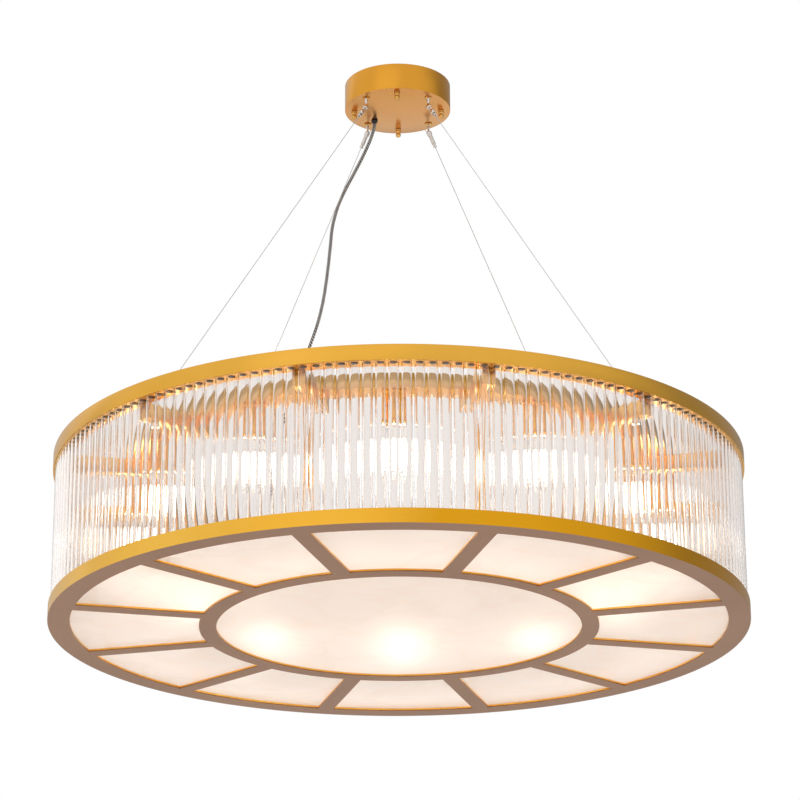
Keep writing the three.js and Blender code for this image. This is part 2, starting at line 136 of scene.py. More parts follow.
class Graph:
    """The node tree of a material or the world, with short calls for the nodes that it needs."""

    def __init__(self, name: str, world: World | None = None) -> None:
        """Starts an empty tree.

        Args:
            name: Name of the new material.
            world: The world that gets the tree in place of a new material.
        """
        self.owner: Material | World = world or bpy.data.materials.new(name)
        self.owner.use_nodes = True
        self.tree = self.owner.node_tree
        self.tree.nodes.clear()

    def node(self, kind: str, inputs: Inputs | None = None, **settings: object) -> Node:
        """Adds a node.

        Args:
            kind: The node's type.
            inputs: A value or a socket for each named or numbered input.
            settings: Attributes of the node.

        Returns:
            The new node.
        """
        node = self.tree.nodes.new(kind)
        for key, value in settings.items():
            setattr(node, key, value)
        for key, value in (inputs or {}).items():
            if isinstance(value, NodeSocket):
                self.tree.links.new(value, node.inputs[key])
            else:
                node.inputs[key].default_value = value
        return node

    def place(self) -> NodeSocket:
        """Gives the piece's own object coordinates."""
        return self.node("ShaderNodeTexCoord").outputs["Object"]

    def parts(self, vector: NodeSocket) -> Sequence[NodeSocket]:
        """Splits a vector into its three parts."""
        return self.node("ShaderNodeSeparateXYZ", {0: vector}).outputs

    def ray(self, kind: str) -> NodeSocket:
        """Tells whether the ray is of a kind, by the name of the light path's output."""
        return self.node("ShaderNodeLightPath").outputs[kind]

    def math(self, operation: str, first: object, second: object = 0.0, third: object = 0.0) -> NodeSocket:
        """Works out one operation on up to three values."""
        return self.node("ShaderNodeMath", {0: first, 1: second, 2: third}, operation=operation).outputs[0]

    def noise(self, vector: NodeSocket, scale: float, detail: float = 2.0) -> NodeSocket:
        """Gives a soft noise from 0 to 1."""
        inputs = {"Vector": vector, "Scale": scale, "Detail": detail}
        return self.node("ShaderNodeTexNoise", inputs).outputs["Fac"]

    def remap(self, value: NodeSocket, low: float, high: float,
              start: float = 0.0, end: float = 1.0, **settings: object) -> NodeSocket:
        """Turns the range from start to end into the range from low to high, and clamps it."""
        inputs = {"Value": value, "From Min": start, "From Max": end, "To Min": low, "To Max": high}
        return self.node("ShaderNodeMapRange", inputs, clamp=True, **settings).outputs["Result"]

    def about(self, value: NodeSocket, middle: float, spread: float) -> NodeSocket:
        """Turns 0 to 1 into a range about a middle value."""
        return self.remap(value, middle - spread, middle + spread)

    def blend(self, factor: object, first: object, second: object) -> NodeSocket:
        """Mixes two colours."""
        inputs = {"Factor": factor, 6: first, 7: second}
        return self.node("ShaderNodeMix", inputs, data_type="RGBA").outputs[2]

    def bump(self, height: NodeSocket, strength: float, distance: float) -> NodeSocket:
        """Turns a height into a bumped normal, with the distance in millimetres."""
        inputs = {"Height": height, "Strength": strength, "Distance": distance * MM}
        return self.node("ShaderNodeBump", inputs).outputs["Normal"]

    def round_place(self, place: NodeSocket, across: float, along: float) -> NodeSocket:
        """Gives coordinates that stretch a pattern round the object's axis.

        Args:
            place: Object coordinates.
            across: Scale of the radius and height.
            along: Scale of the azimuth.

        Returns:
            Scaled radius, height and azimuth as a vector.
        """
        x, y, z = self.parts(place)
        squares = self.math("ADD", self.math("MULTIPLY", x, x), self.math("MULTIPLY", y, y))
        radius = self.math("MULTIPLY", self.math("SQRT", squares), across)
        height = self.math("MULTIPLY", z, across)
        azimuth = self.math("MULTIPLY", self.math("ARCTAN2", x, y), along)
        return self.node("ShaderNodeCombineXYZ", {0: radius, 1: height, 2: azimuth}).outputs[0]

    def stretched(self, place: NodeSocket, scale: Point) -> NodeSocket:
        """Gives the coordinates scaled along each axis."""
        return self.node("ShaderNodeMapping", {"Vector": place, "Scale": scale}).outputs[0]

    def shader(self, inputs: Inputs) -> NodeSocket:
        """Adds the main shader with those inputs."""
        return self.node("ShaderNodeBsdfPrincipled", inputs).outputs[0]

    def swap(self, factor: NodeSocket, first: NodeSocket, second: NodeSocket) -> NodeSocket:
        """Mixes two shaders."""
        return self.node("ShaderNodeMixShader", {0: factor, 1: first, 2: second}).outputs[0]

    def surface(self, shader: NodeSocket) -> Material:
        """Makes a shader the material's surface and returns the material."""
        self.node("ShaderNodeOutputMaterial", {"Surface": shader})
        return self.owner

    def lit_through(self, shader: NodeSocket, tint: Colour) -> Material:
        """Makes a shader the surface, and lets tinted light from the lamps straight through."""
        clear = self.node("ShaderNodeBsdfTransparent", {"Color": tint}).outputs[0]
        return self.surface(self.swap(self.ray("Is Shadow Ray"), shader, clear))


@dataclass(frozen=True)
class MetalFinish:
    """A plated, rolled or turned metal with a fine grain and a slow drift of tone; where it leans, painted
    side light makes it lighter towards -X and darker towards +X.
    """

    name: str
    colour: str
    drift_and_side_light_colour: str
    roughness: float
    grain: Grain = Grain.NONE
    metallic: float = 1.0
    roughness_spread: float = 0.06
    drift_scale: float = 5.0
    grain_scale: float = 1500.0
    grain_strength: float = 0.06
    grain_turns: float = 12.0
    grain_length: float = 60.0
    # Painted side light: how fast, per metre towards -X, the colour turns towards the second colour.
    lean: float = 0.0
    lean_drift: float = 0.25

    def lines(self, graph: Graph, place: NodeSocket) -> NodeSocket:
        """Gives the coordinates of the grain.

        Args:
            graph: The material's node tree.
            place: Object coordinates.

        Returns:
            Coordinates that are stretched along the grain.
        """
        scale = self.grain_scale
        if self.grain is Grain.ROUND:
            return graph.round_place(place, scale, self.grain_turns)
        if self.grain is Grain.UPRIGHT:
            return graph.stretched(place, (scale, scale, scale / self.grain_length))
        return graph.stretched(place, (scale / 3,) * 3)

    def build(self) -> Material:
        """Builds the finish.

        Returns:
            Its material.
        """
        graph = Graph(self.name)
        place = graph.place()
        fine = graph.noise(self.lines(graph, place), 1.0, 3.0)
        cloud = graph.noise(place, self.drift_scale, 4.0)
        drift_and_side_light = graph.remap(cloud, 0.0, 1.0, *CLOUD_RANGE)
        # Painted side light: the tone leans with X, so one side looks lit and the other shaded.
        if self.lean:
            slow = graph.math("MULTIPLY", drift_and_side_light, self.lean_drift)
            drift_and_side_light = graph.math("MULTIPLY_ADD", graph.parts(place)[0], self.lean, slow)
        return graph.surface(graph.shader({
            "Base Color": graph.blend(drift_and_side_light, srgb(self.colour), srgb(self.drift_and_side_light_colour)),
            "Metallic": self.metallic,
            "Roughness": graph.about(fine, self.roughness, self.roughness_spread),
            "Normal": graph.bump(fine, self.grain_strength, GRAIN_DEPTH),
        }))


@dataclass(frozen=True)
class PaintedReflectionMetal:
    """A brass with a painted reflection up its height: golden low down, turning to dark brown up high."""

    name: str
    golden_reflection_colour: str
    dark_reflection_colour: str
    low: float
    high: float
    roughness: float
    grain_scale: float = 1200.0
    grain_turns: float = 10.0
    grain_strength: float = 0.05
    waver: float = 0.12
    waver_scale: float = 9.0

    def build(self) -> Material:
        """Builds the finish.

        Returns:
            Its material.
        """
        graph = Graph(self.name)
        place = graph.place()
        fine = graph.noise(graph.round_place(place, self.grain_scale, self.grain_turns), 1.0, 3.0)
        cloud = graph.noise(place, self.waver_scale, 3.0)
        # Painted reflection: the rise turns the colour from golden at the low height to dark brown at the
        # high one.
        rise = graph.remap(graph.parts(place)[2], 0.0, 1.0, self.low * MM, self.high * MM)
        painted_reflection_mix = graph.math("ADD", rise, graph.about(cloud, 0.0, self.waver))
        return graph.surface(graph.shader({
            "Base Color": graph.blend(painted_reflection_mix, srgb(self.golden_reflection_colour), srgb(self.dark_reflection_colour)),
            "Metallic": 1.0,
            "Roughness": graph.remap(fine, self.roughness - 0.05, self.roughness + 0.07),
            "Normal": graph.bump(fine, self.grain_strength, GRAIN_DEPTH),
        }))


@dataclass(frozen=True)
class MouldedFinish:
    """A moulded plastic with a fine texture and slight mottling."""

    name: str
    colour: str
    mottle_colour: str
    roughness: float
    roughness_spread: float = 0.08
    mottle_scale: float = 60.0
    texture_scale: float = 900.0
    texture_strength: float = 0.12

    def build(self) -> Material:
        """Builds the finish.

        Returns:
            Its material.
        """
        graph = Graph(self.name)
        place = graph.place()
        fine = graph.noise(place, self.texture_scale, 3.0)
        cloud = graph.noise(place, self.mottle_scale)
        return graph.surface(graph.shader({
            "Base Color": graph.blend(cloud, srgb(self.colour), srgb(self.mottle_colour)),
            "Roughness": graph.about(fine, self.roughness, self.roughness_spread),
            "Normal": graph.bump(fine, self.texture_strength, 0.08),
        }))


@dataclass(frozen=True)
class BraidFinish:
    """A cord's dark braided jacket whose strands cross in both directions, with painted highlights on the
    crowns of the strands that run one way.
    """

    name: str
    colour: str
    painted_highlight_colour: str
    turns: float
    along: float
    highlight_edge: tuple[float, float] = (0.35, 0.8)
    valley_roughness: float = 0.62
    crown_roughness: float = 0.38

    def build(self) -> Material:
        """Builds the finish.

        Returns:
            Its material.
        """
        graph = Graph(self.name)
        parts = graph.parts(graph.node("ShaderNodeUVMap").outputs[0])
        run = graph.math("MULTIPLY", parts[0], self.along)
        turn = graph.math("MULTIPLY", parts[1], self.turns)
        left, right = (graph.math("SINE", graph.math("MULTIPLY", graph.math(way, run, turn), FULL_TURN))
                       for way in ("ADD", "SUBTRACT"))
        weave = graph.math("MAXIMUM", left, right)
        # Painted highlight: the light colour lies along the crowns of the strands that run one way.
        light = graph.remap(left, 0.0, 1.0, *self.highlight_edge)
        return graph.surface(graph.shader({
            "Base Color": graph.blend(light, srgb(self.colour), srgb(self.painted_highlight_colour)),
            "Roughness": graph.remap(weave, self.valley_roughness, self.crown_roughness, -1.0, 1.0),
            "Normal": graph.bump(weave, 0.5, 0.3),
        }))


@dataclass(frozen=True)
class ClearGlass:
    """Drawn clear glass with faint draw lines. Light from the lamps passes it."""

    name: str
    tint: Colour
    ior: float = 1.5
    roughness: float = 0.002
    draw_lines: Point = (260.0, 260.0, 3.0)
    line_strength: float = 0.001
    shadow_tint: Colour = (0.96, 0.95, 0.94, 1.0)

    def build(self) -> Material:
        """Builds the finish.

        Returns:
            Its material.
        """
        graph = Graph(self.name)
        lines = graph.noise(graph.stretched(graph.place(), self.draw_lines), 1.0)
        return graph.lit_through(graph.shader({
            "Base Color": self.tint,
            "Roughness": graph.remap(lines, 0.0, self.roughness),
            "IOR": self.ior,
            "Transmission Weight": 1.0,
            "Normal": graph.bump(lines, self.line_strength, 0.2),
        }), self.shadow_tint)


@dataclass(frozen=True)
class FrostedFinish:
    """Frosted acrylic that lets the lamps' light through and shows them blurred, with a faint painted glow of
    its own.
    """

    name: str = "frosted_acrylic"
    colour: str = "FDF3EB"
    vein_colour: str = "EADCCC"
    veining: float = 0.05
    vein_width: float = 0.22
    vein_scale: float = 9.0
    warp: float = 0.22
    warp_scale: float = 4.0
    texture_scale: float = 700.0
    # Strength of the painted glow: the sheet emits its own colour evenly, though it is no lamp.
    glow: float = 0.075
    transmission: float = 0.8
    ior: float = 1.14
    roughness: float = 0.52
    shadow_tint: Colour = (0.86, 0.85, 0.84, 1.0)

    def build(self) -> Material:
        """Builds the finish.

        Returns:
            Its material.
        """
        graph = Graph(self.name)
        place = graph.place()
        swirl = graph.node("ShaderNodeTexNoise", {"Vector": place, "Scale": self.warp_scale, "Detail": 3.0})
        pull = {"Factor": self.warp, 4: place, 5: swirl.outputs["Color"]}
        warped = graph.node("ShaderNodeMix", pull, data_type="VECTOR").outputs[1]
        vein = graph.noise(warped, self.vein_scale, 6.0)
        ridge = graph.math("ABSOLUTE", graph.math("SUBTRACT", vein, 0.5))
        veined = graph.remap(ridge, self.vein_width, 0.0, 0.0, self.veining)
        fine = graph.noise(place, self.texture_scale, 3.0)
        colour = graph.blend(veined, srgb(self.colour), srgb(self.vein_colour))
        return graph.lit_through(graph.shader({
            "Base Color": colour,
            "Roughness": graph.about(fine, self.roughness, 0.05),
            "IOR": self.ior,
            "Transmission Weight": self.transmission,
            # Painted glow: a faint emission in the sheet's own colour.
            "Emission Color": colour,
            "Emission Strength": self.glow,
            "Normal": graph.bump(fine, 0.05, 0.1),
        }), self.shadow_tint)


@dataclass(frozen=True)
class GlowFinish:
    """Lit bulb glass: white light, a little uneven along the filament and softer through clear glass."""

    name: str
    colour: str
    strength: float
    strength_through_glass: float
    flicker: float = 0.15
    flicker_scale: Point = (90.0, 90.0, 30.0)

    def build(self) -> Material:
        """Builds the finish.

        Returns:
            Its material.
        """
        graph = Graph(self.name)
        place = graph.place()
        uneven = graph.noise(graph.stretched(place, self.flicker_scale), 1.0)
        fine = graph.noise(place, 400.0)
        strength = graph.remap(graph.ray("Is Singular Ray"), self.strength, self.strength_through_glass)
        return graph.surface(graph.shader({
            "Base Color": srgb(self.colour),
            "Roughness": graph.remap(fine, 0.12, 0.25),
            "Emission Color": srgb(self.colour),
            "Emission Strength": graph.math("MULTIPLY", strength, graph.about(uneven, 1.0, self.flicker)),
            "Normal": graph.bump(fine, 0.05, 0.2),
        }))


class Finishes:
    """Every finish of the chandelier, built once."""

    def __init__(self) -> None:
        """Builds the materials."""
        self.top_brass = MetalFinish("top_brass", "E4AC46", "D8A23C", 0.26, Grain.ROUND, **SATIN).build()
        # The band's lean is painted side light: lighter towards -X, darker towards +X.
        self.band_brass = MetalFinish(
            "band_brass", "DB9C1C", "FACC62", 0.27, Grain.ROUND, lean=-1.1, **SATIN).build()
        self.inner_brass = MetalFinish("inner_brass", "F4C070", "E2A858", 0.3, Grain.ROUND).build()
        self.edge_brass = MetalFinish("edge_brass", "F6C250", "ECAC3C", 0.3).build()
        # The taupe underside is a darker copy of the plate's brass: partly a satin finish, partly painted
        # shade from the dim floor it reflects.
        self.taupe_and_painted_shade = MetalFinish("satin_taupe", "9E724E", "946845", 0.42, metallic=0.55).build()
        self.canopy_side = MetalFinish(
            "canopy_side_brass", "E2A238", "D49434", 0.26, Grain.ROUND, **SATIN).build()
        self.canopy_face = MetalFinish("canopy_face_brass", "E2A866", "D89A54", 0.24, **SATIN).build()
        self.nut_brass = MetalFinish("nut_brass", "EBC07A", "C8964A", 0.14, Grain.ROUND).build()
        self.holder_brass = MetalFinish("holder_brass", "F8BA4C", "EAA83E", 0.24, Grain.UPRIGHT).build()
        self.arm_brass = MetalFinish("arm_brass", "F4C272", "E4AA5A", 0.28).build()
        # The channel gets a painted reflection, golden low down and dark brown up high.
        self.channel_brass = PaintedReflectionMetal("channel_brass", "FFD08C", "A67A30", -634.0, -624.0, 0.3).build()
        self.chrome = MetalFinish("chrome", "E0DAD4", "CFC8C1", 0.06, Grain.ROUND).build()
        self.rope_steel = MetalFinish("rope_steel", "D2CECA", "BCB8B4", 0.35).build()
        self.bracket_steel = MetalFinish("bracket_zinc", "B9BBBC", "9FA2A6", 0.42).build()
        # Painted shade: the tube plugs are dark brown, standing in for the shade in the tubes' blind ends.
        self.plug_painted_shade = MetalFinish("plug_painted_shade", "4A3420", "30220F", 0.4).build()
        self.nylon = MouldedFinish("black_nylon", "1B1B1D", "262628", 0.45).build()
        self.plastic = MouldedFinish("white_plastic", "E9E6DF", "DDD9D0", 0.45).build()
        self.wire_brown = MouldedFinish("brown_wire", "5A3A28", "4A2E1E", 0.4).build()
        self.wire_blue = MouldedFinish("blue_wire", "2F4F8A", "274478", 0.4).build()
        self.wire_green = MouldedFinish("green_wire", "4C8A3C", "B7B23C", 0.4).build()
        # The cord's light strand colour is a painted highlight.
        self.braid = BraidFinish("cord_braid", "1D1C1F", "E6E0DA", 2.0, 190.0).build()
        self.glass = ClearGlass("tube_glass", (0.985, 0.972, 0.96, 1.0)).build()
        self.crystal = ClearGlass("lamp_crystal", (0.99, 0.97, 0.94, 1.0), 1.55).build()
        # The frosted finish carries a faint painted glow.
        self.frosted = FrostedFinish().build()
        self.lit = GlowFinish("lit_bulb", "FFF6EA", 14.0, 6.0).build()


def merge(shape: Shape) -> None:
    """Joins a shape's doubled corners."""
    bmesh.ops.remove_doubles(shape, verts=shape.verts[:], dist=MERGE_DISTANCE)


def face_out(shape: Shape) -> None:
    """Points a closed shape's faces outwards."""
    bmesh.ops.recalc_face_normals(shape, faces=shape.faces[:])
    shape.normal_update()


def spin(shape: Shape, items: list, angle: float, steps: int, close: bool = False, rise: float = 0.0) -> None:
    """Spins items of a shape about Z.

    Args:
        shape: The shape that holds them.
        items: Its corners, edges and faces that are spun.
        angle: The whole turn in radians.
        steps: Steps in the turn.
        close: Whether the last step joins the first.
        rise: How far each step climbs, in metres.
    """
    bmesh.ops.spin(shape, geom=items, cent=(0, 0, 0), axis=(0, 0, 1), dvec=(0, 0, rise), angle=angle,
                   steps=steps, use_merge=close)


def turned(outline: Outline, sides: int, rounding: float = 0.0, steps: int = 2, level: float = 0.0) -> Shape:
    """Revolves a closed outline about Z.

    Args:
        outline: Radius and height of each corner.
        sides: Steps round the axis.
        rounding: Size of the corners' rounding.
        steps: Faces across each rounding.
        level: Height that the outline's heights are counted from.

    Returns:
        The closed shape.
    """
    shape = bmesh.new()
    corners = [shape.verts.new((radius * MM, 0.0, (level + height) * MM)) for radius, height in outline]
    shape.faces.new(corners)
    if rounding:
        free = [corner for corner in corners if corner.co.x > AXIS_REACH]
        bmesh.ops.bevel(shape, geom=free, offset=rounding * MM, segments=steps, profile=0.5,
                        affect="VERTICES", material=-1, clamp_overlap=True)
    bmesh.ops.delete(shape, geom=shape.faces[:], context="FACES_ONLY")
    on_axis = [edge for edge in shape.edges if all(vert.co.x < AXIS_REACH for vert in edge.verts)]
    bmesh.ops.delete(shape, geom=on_axis, context="EDGES")
    spin(shape, shape.verts[:] + shape.edges[:], FULL_TURN, sides, True)
    merge(shape)
    face_out(shape)
    return shape


def ring(inner: float, outer: float, low: float, high: float, sides: int, rounding: float = 0.0) -> Shape:
    """Makes a ring of rectangular section."""
    return turned([(outer, high), (outer, low), (inner, low), (inner, high)], sides, rounding)


def post(radius: float, low: float, high: float, sides: int, rounding: float = 0.0) -> Shape:
    """Makes an upright round post."""
    return turned([(0, high), (radius, high), (radius, low), (0, low)], sides, rounding)


def block(width: float, length: float, low: float, high: float, rounding: float = 0.0) -> Shape:
    """Makes a block whose edges are rounded.

    Args:
        width: Size along X.
        length: Size along Y.
        low: Height of the underside.
        high: Height of the top.
        rounding: Size of the edges' rounding.

    Returns:
        The closed shape.
    """
    shape = bmesh.new()
    bmesh.ops.create_cube(shape, size=1.0)
    bmesh.ops.scale(shape, vec=(width * MM, length * MM, (high - low) * MM), verts=shape.verts[:])
    bmesh.ops.translate(shape, vec=(0, 0, (low + high) / 2 * MM), verts=shape.verts[:])
    if rounding:
        bmesh.ops.bevel(shape, geom=shape.edges[:] + shape.verts[:], offset=rounding * MM, segments=2,
                        profile=0.5, affect="EDGES", material=-1)
    return shape


@dataclass(frozen=True)
class WireRope:
    """A twisted steel rope: its size, its strands and their lay."""

    radius: float = 0.56
    strands: int = 6
    pitch: float = 11.0
    steps_per_turn: int = 8
    valley: float = 0.84

    def along(self, low: float, high: float) -> Shape:
        """Makes a length of rope along Z.

        Args:
            low: Height of the lower end.
            high: Height of the upper end.

        Returns:
            The closed shape.
        """
        shape = bmesh.new()
        made = bmesh.ops.create_circle(shape, segments=2 * self.strands, radius=self.radius * MM)
        bmesh.ops.scale(shape, vec=(self.valley, self.valley, 1), verts=made["verts"][::2])
        bmesh.ops.translate(shape, vec=(0, 0, low * MM), verts=shape.verts[:])
        turns = (high - low) / self.pitch
        steps = max(1, round(turns * self.steps_per_turn))
        spin(shape, shape.verts[:] + shape.edges[:], turns * FULL_TURN, steps,
             rise=(high - low) * MM / steps)
        bmesh.ops.holes_fill(shape, edges=[edge for edge in shape.edges if edge.is_boundary], sides=0)
        face_out(shape)
        return shape


def stamp(target: Shape, source: Shape, matrix: Matrix | None = None, finish: int = 0) -> Shape:
    """Adds a copy of a shape to another.

    Args:
        target: The shape that grows.
        source: The shape that is copied.
        matrix: Where the copy goes, or None for its own place.
        finish: Index of the copy's finish.

    Returns:
        The grown shape.
    """
    mesh = bpy.data.meshes.new("stamp")
    source.to_mesh(mesh)
    if matrix is not None:
        mesh.transform(matrix)
    first = len(target.faces)
    target.from_mesh(mesh)
    target.faces.ensure_lookup_table()
    for face in target.faces[first:]:
        face.material_index = finish
    bpy.data.meshes.remove(mesh)
    return target


def placed(source: Shape, matrix: Matrix) -> Shape:
    """Gives a copy of a shape in its place."""
    return stamp(bmesh.new(), source, matrix)


def spoke(azimuth: float, radius: float = 0.0, height: float = 0.0) -> Matrix:
    """Gives the place at a radius and height on an azimuth in degrees, in which -Y points outwards."""
    return Matrix.Rotation(math.radians(azimuth), 4, "Z") @ Matrix.Translation((0, -radius * MM, height * MM))


def reach(face: Face) -> float:
    """Gives a face's distance from the axis, in metres."""
    centre = face.calc_center_median()
    return math.hypot(centre.x, centre.y)


def is_beside(face: Face, outward: Vector, across: Vector, limit: float) -> bool:
    """Tells whether a face's middle is within a limit of a line that runs outwards from the axis."""
    centre = face.calc_center_median()
    return centre.dot(outward) > 0 and abs(centre.dot(across)) < limit


def raise_faces(shape: Shape, faces: list[Face], height: float, keep: bool = True) -> None:
    """Extrudes faces upwards.

    Args:
        shape: The shape that holds them.
        faces: The faces.
        height: How far they rise.
        keep: Whether the faces also stay where they are.
    """
    made = bmesh.ops.extrude_face_region(shape, geom=faces, use_keep_orig=keep)
    moved = [item for item in made["geom"] if isinstance(item, bmesh.types.BMVert)]
    bmesh.ops.translate(shape, vec=(0, 0, height * MM), verts=moved)
    if not keep:
        bmesh.ops.delete(shape, geom=[face for face in faces if face.is_valid], context="FACES")


def catmull_rom(points: Sequence[Point], steps: int) -> list[Vector]:
    """Draws a smooth centripetal curve through points.

    Args:
        points: The points in millimetres.
        steps: Steps in each span.

    Returns:
        Points of the curve in metres.
    """
    knots = [Vector(point) * MM for point in points]
    knots = [2 * knots[0] - knots[1], *knots, 2 * knots[-1] - knots[-2]]
    curve: list[Vector] = []
    for index in range(1, len(knots) - 2):
        p0, p1, p2, p3 = knots[index - 1:index + 3]
        t1 = math.sqrt((p1 - p0).length)
        t2 = t1 + math.sqrt((p2 - p1).length)
        t3 = t2 + math.sqrt((p3 - p2).length)
        for step in range(steps):
            t = t1 + (t2 - t1) * step / steps
            a1 = p0 * ((t1 - t) / t1) + p1 * (t / t1)
            a2 = p1 * ((t2 - t) / (t2 - t1)) + p2 * ((t - t1) / (t2 - t1))
            a3 = p2 * ((t3 - t) / (t3 - t2)) + p3 * ((t - t2) / (t3 - t2))
            b1 = a1 * ((t2 - t) / t2) + a2 * (t / t2)
            b2 = a2 * ((t3 - t) / (t3 - t1)) + a3 * ((t - t1) / (t3 - t1))
            curve.append(b1 * ((t2 - t) / (t2 - t1)) + b2 * ((t - t1) / (t2 - t1)))
    curve.append(knots[-2])
    return curve


def baked(name: str, shape: Shape) -> Mesh:
    """Turns a shape into a mesh.

    Args:
        name: The mesh's name.
        shape: The shape, which is used up.

    Returns:
        The mesh.
    """
    mesh = bpy.data.meshes.new(name)
    shape.to_mesh(mesh)
    shape.free()
    return mesh


def swept(points: Sequence[Vector], radius: float, rings: int) -> Mesh:
    """Sweeps a round section along points, with a ring at each.

    Args:
        points: The route in metres.
        radius: Radius of the section.
        rings: Bevel resolution of the section.

    Returns:
        A closed mesh with a UV map.
    """
    curve = bpy.data.curves.new("route", "CURVE")
    curve.dimensions = "3D"
    curve.bevel_depth = radius * MM
    curve.bevel_resolution = rings
    curve.use_fill_caps = True
    spline = curve.splines.new("POLY")
    spline.points.add(len(points) - 1)
    for point, place in zip(spline.points, points):
        point.co = (*place, 1.0)
    carrier = bpy.data.objects.new("route", curve)
    mesh = bpy.data.meshes.new_from_object(carrier)
    bpy.data.objects.remove(carrier)
    bpy.data.curves.remove(curve)
    shape = bmesh.new()
    shape.from_mesh(mesh)
    merge(shape)
    face_out(shape)
    shape.to_mesh(mesh)
    shape.free()
    return mesh


def settle(name: str, mesh: Mesh, finishes: Iterable[Material], crease: float = 35.0) -> Object:
    """Makes a shaded object at the origin from a mesh.

    Args:
        name: The piece's name.
        mesh: Its mesh, in its place.
        finishes: Its materials, in the order of the faces' indices.
        crease: Angle in degrees past which an edge stays sharp.

    Returns:
        The object, linked to the scene.
    """
    mesh.name = name
    for finish in finishes:
        mesh.materials.append(finish)
    mesh.polygons.foreach_set("use_smooth", [True] * len(mesh.polygons))
    mesh.set_sharp_from_angle(angle=math.radians(crease))
    made = bpy.data.objects.new(name, mesh)
    bpy.context.scene.collection.objects.link(made)
    return made


def mount(made: Object, body: str, stands_for: Sequence[str] = ()) -> None:
    """Puts a piece on a body of the frame and reports it.

    Args:
        made: The piece.
        body: The body that it rides on.
        stands_for: Frame nodes that it replaces.
    """
    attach(made, body)
    if stands_for:
        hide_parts(*stands_for)
    log.info("%s: %d faces on %s", made.name, len(made.data.polygons), body)


def piece(name: str, shape: Shape, body: str, finishes: Iterable[Material],
          stands_for: Sequence[str] = (), crease: float = 35.0) -> None:
    """Turns a shape into a finished piece on a body of the frame.

    Args:
        name: The piece's name.
        shape: Its closed shape, which is used up.
        body: The body that it rides on.
        finishes: Its materials, in the order of the faces' indices.
        stands_for: Frame nodes that it replaces.
        crease: Angle in degrees past which an edge stays sharp.
    """
    mount(settle(name, baked(name, shape), finishes, crease), body, stands_for)


def dress(name: str, finish: Material) -> None:
    """Gives a node of the frame a finish. Its mesh stays as it is.

    Args:
        name: The node's name.
        finish: Its material.
    """
    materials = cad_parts[name].data.materials
    materials.clear()
    materials.append(finish)


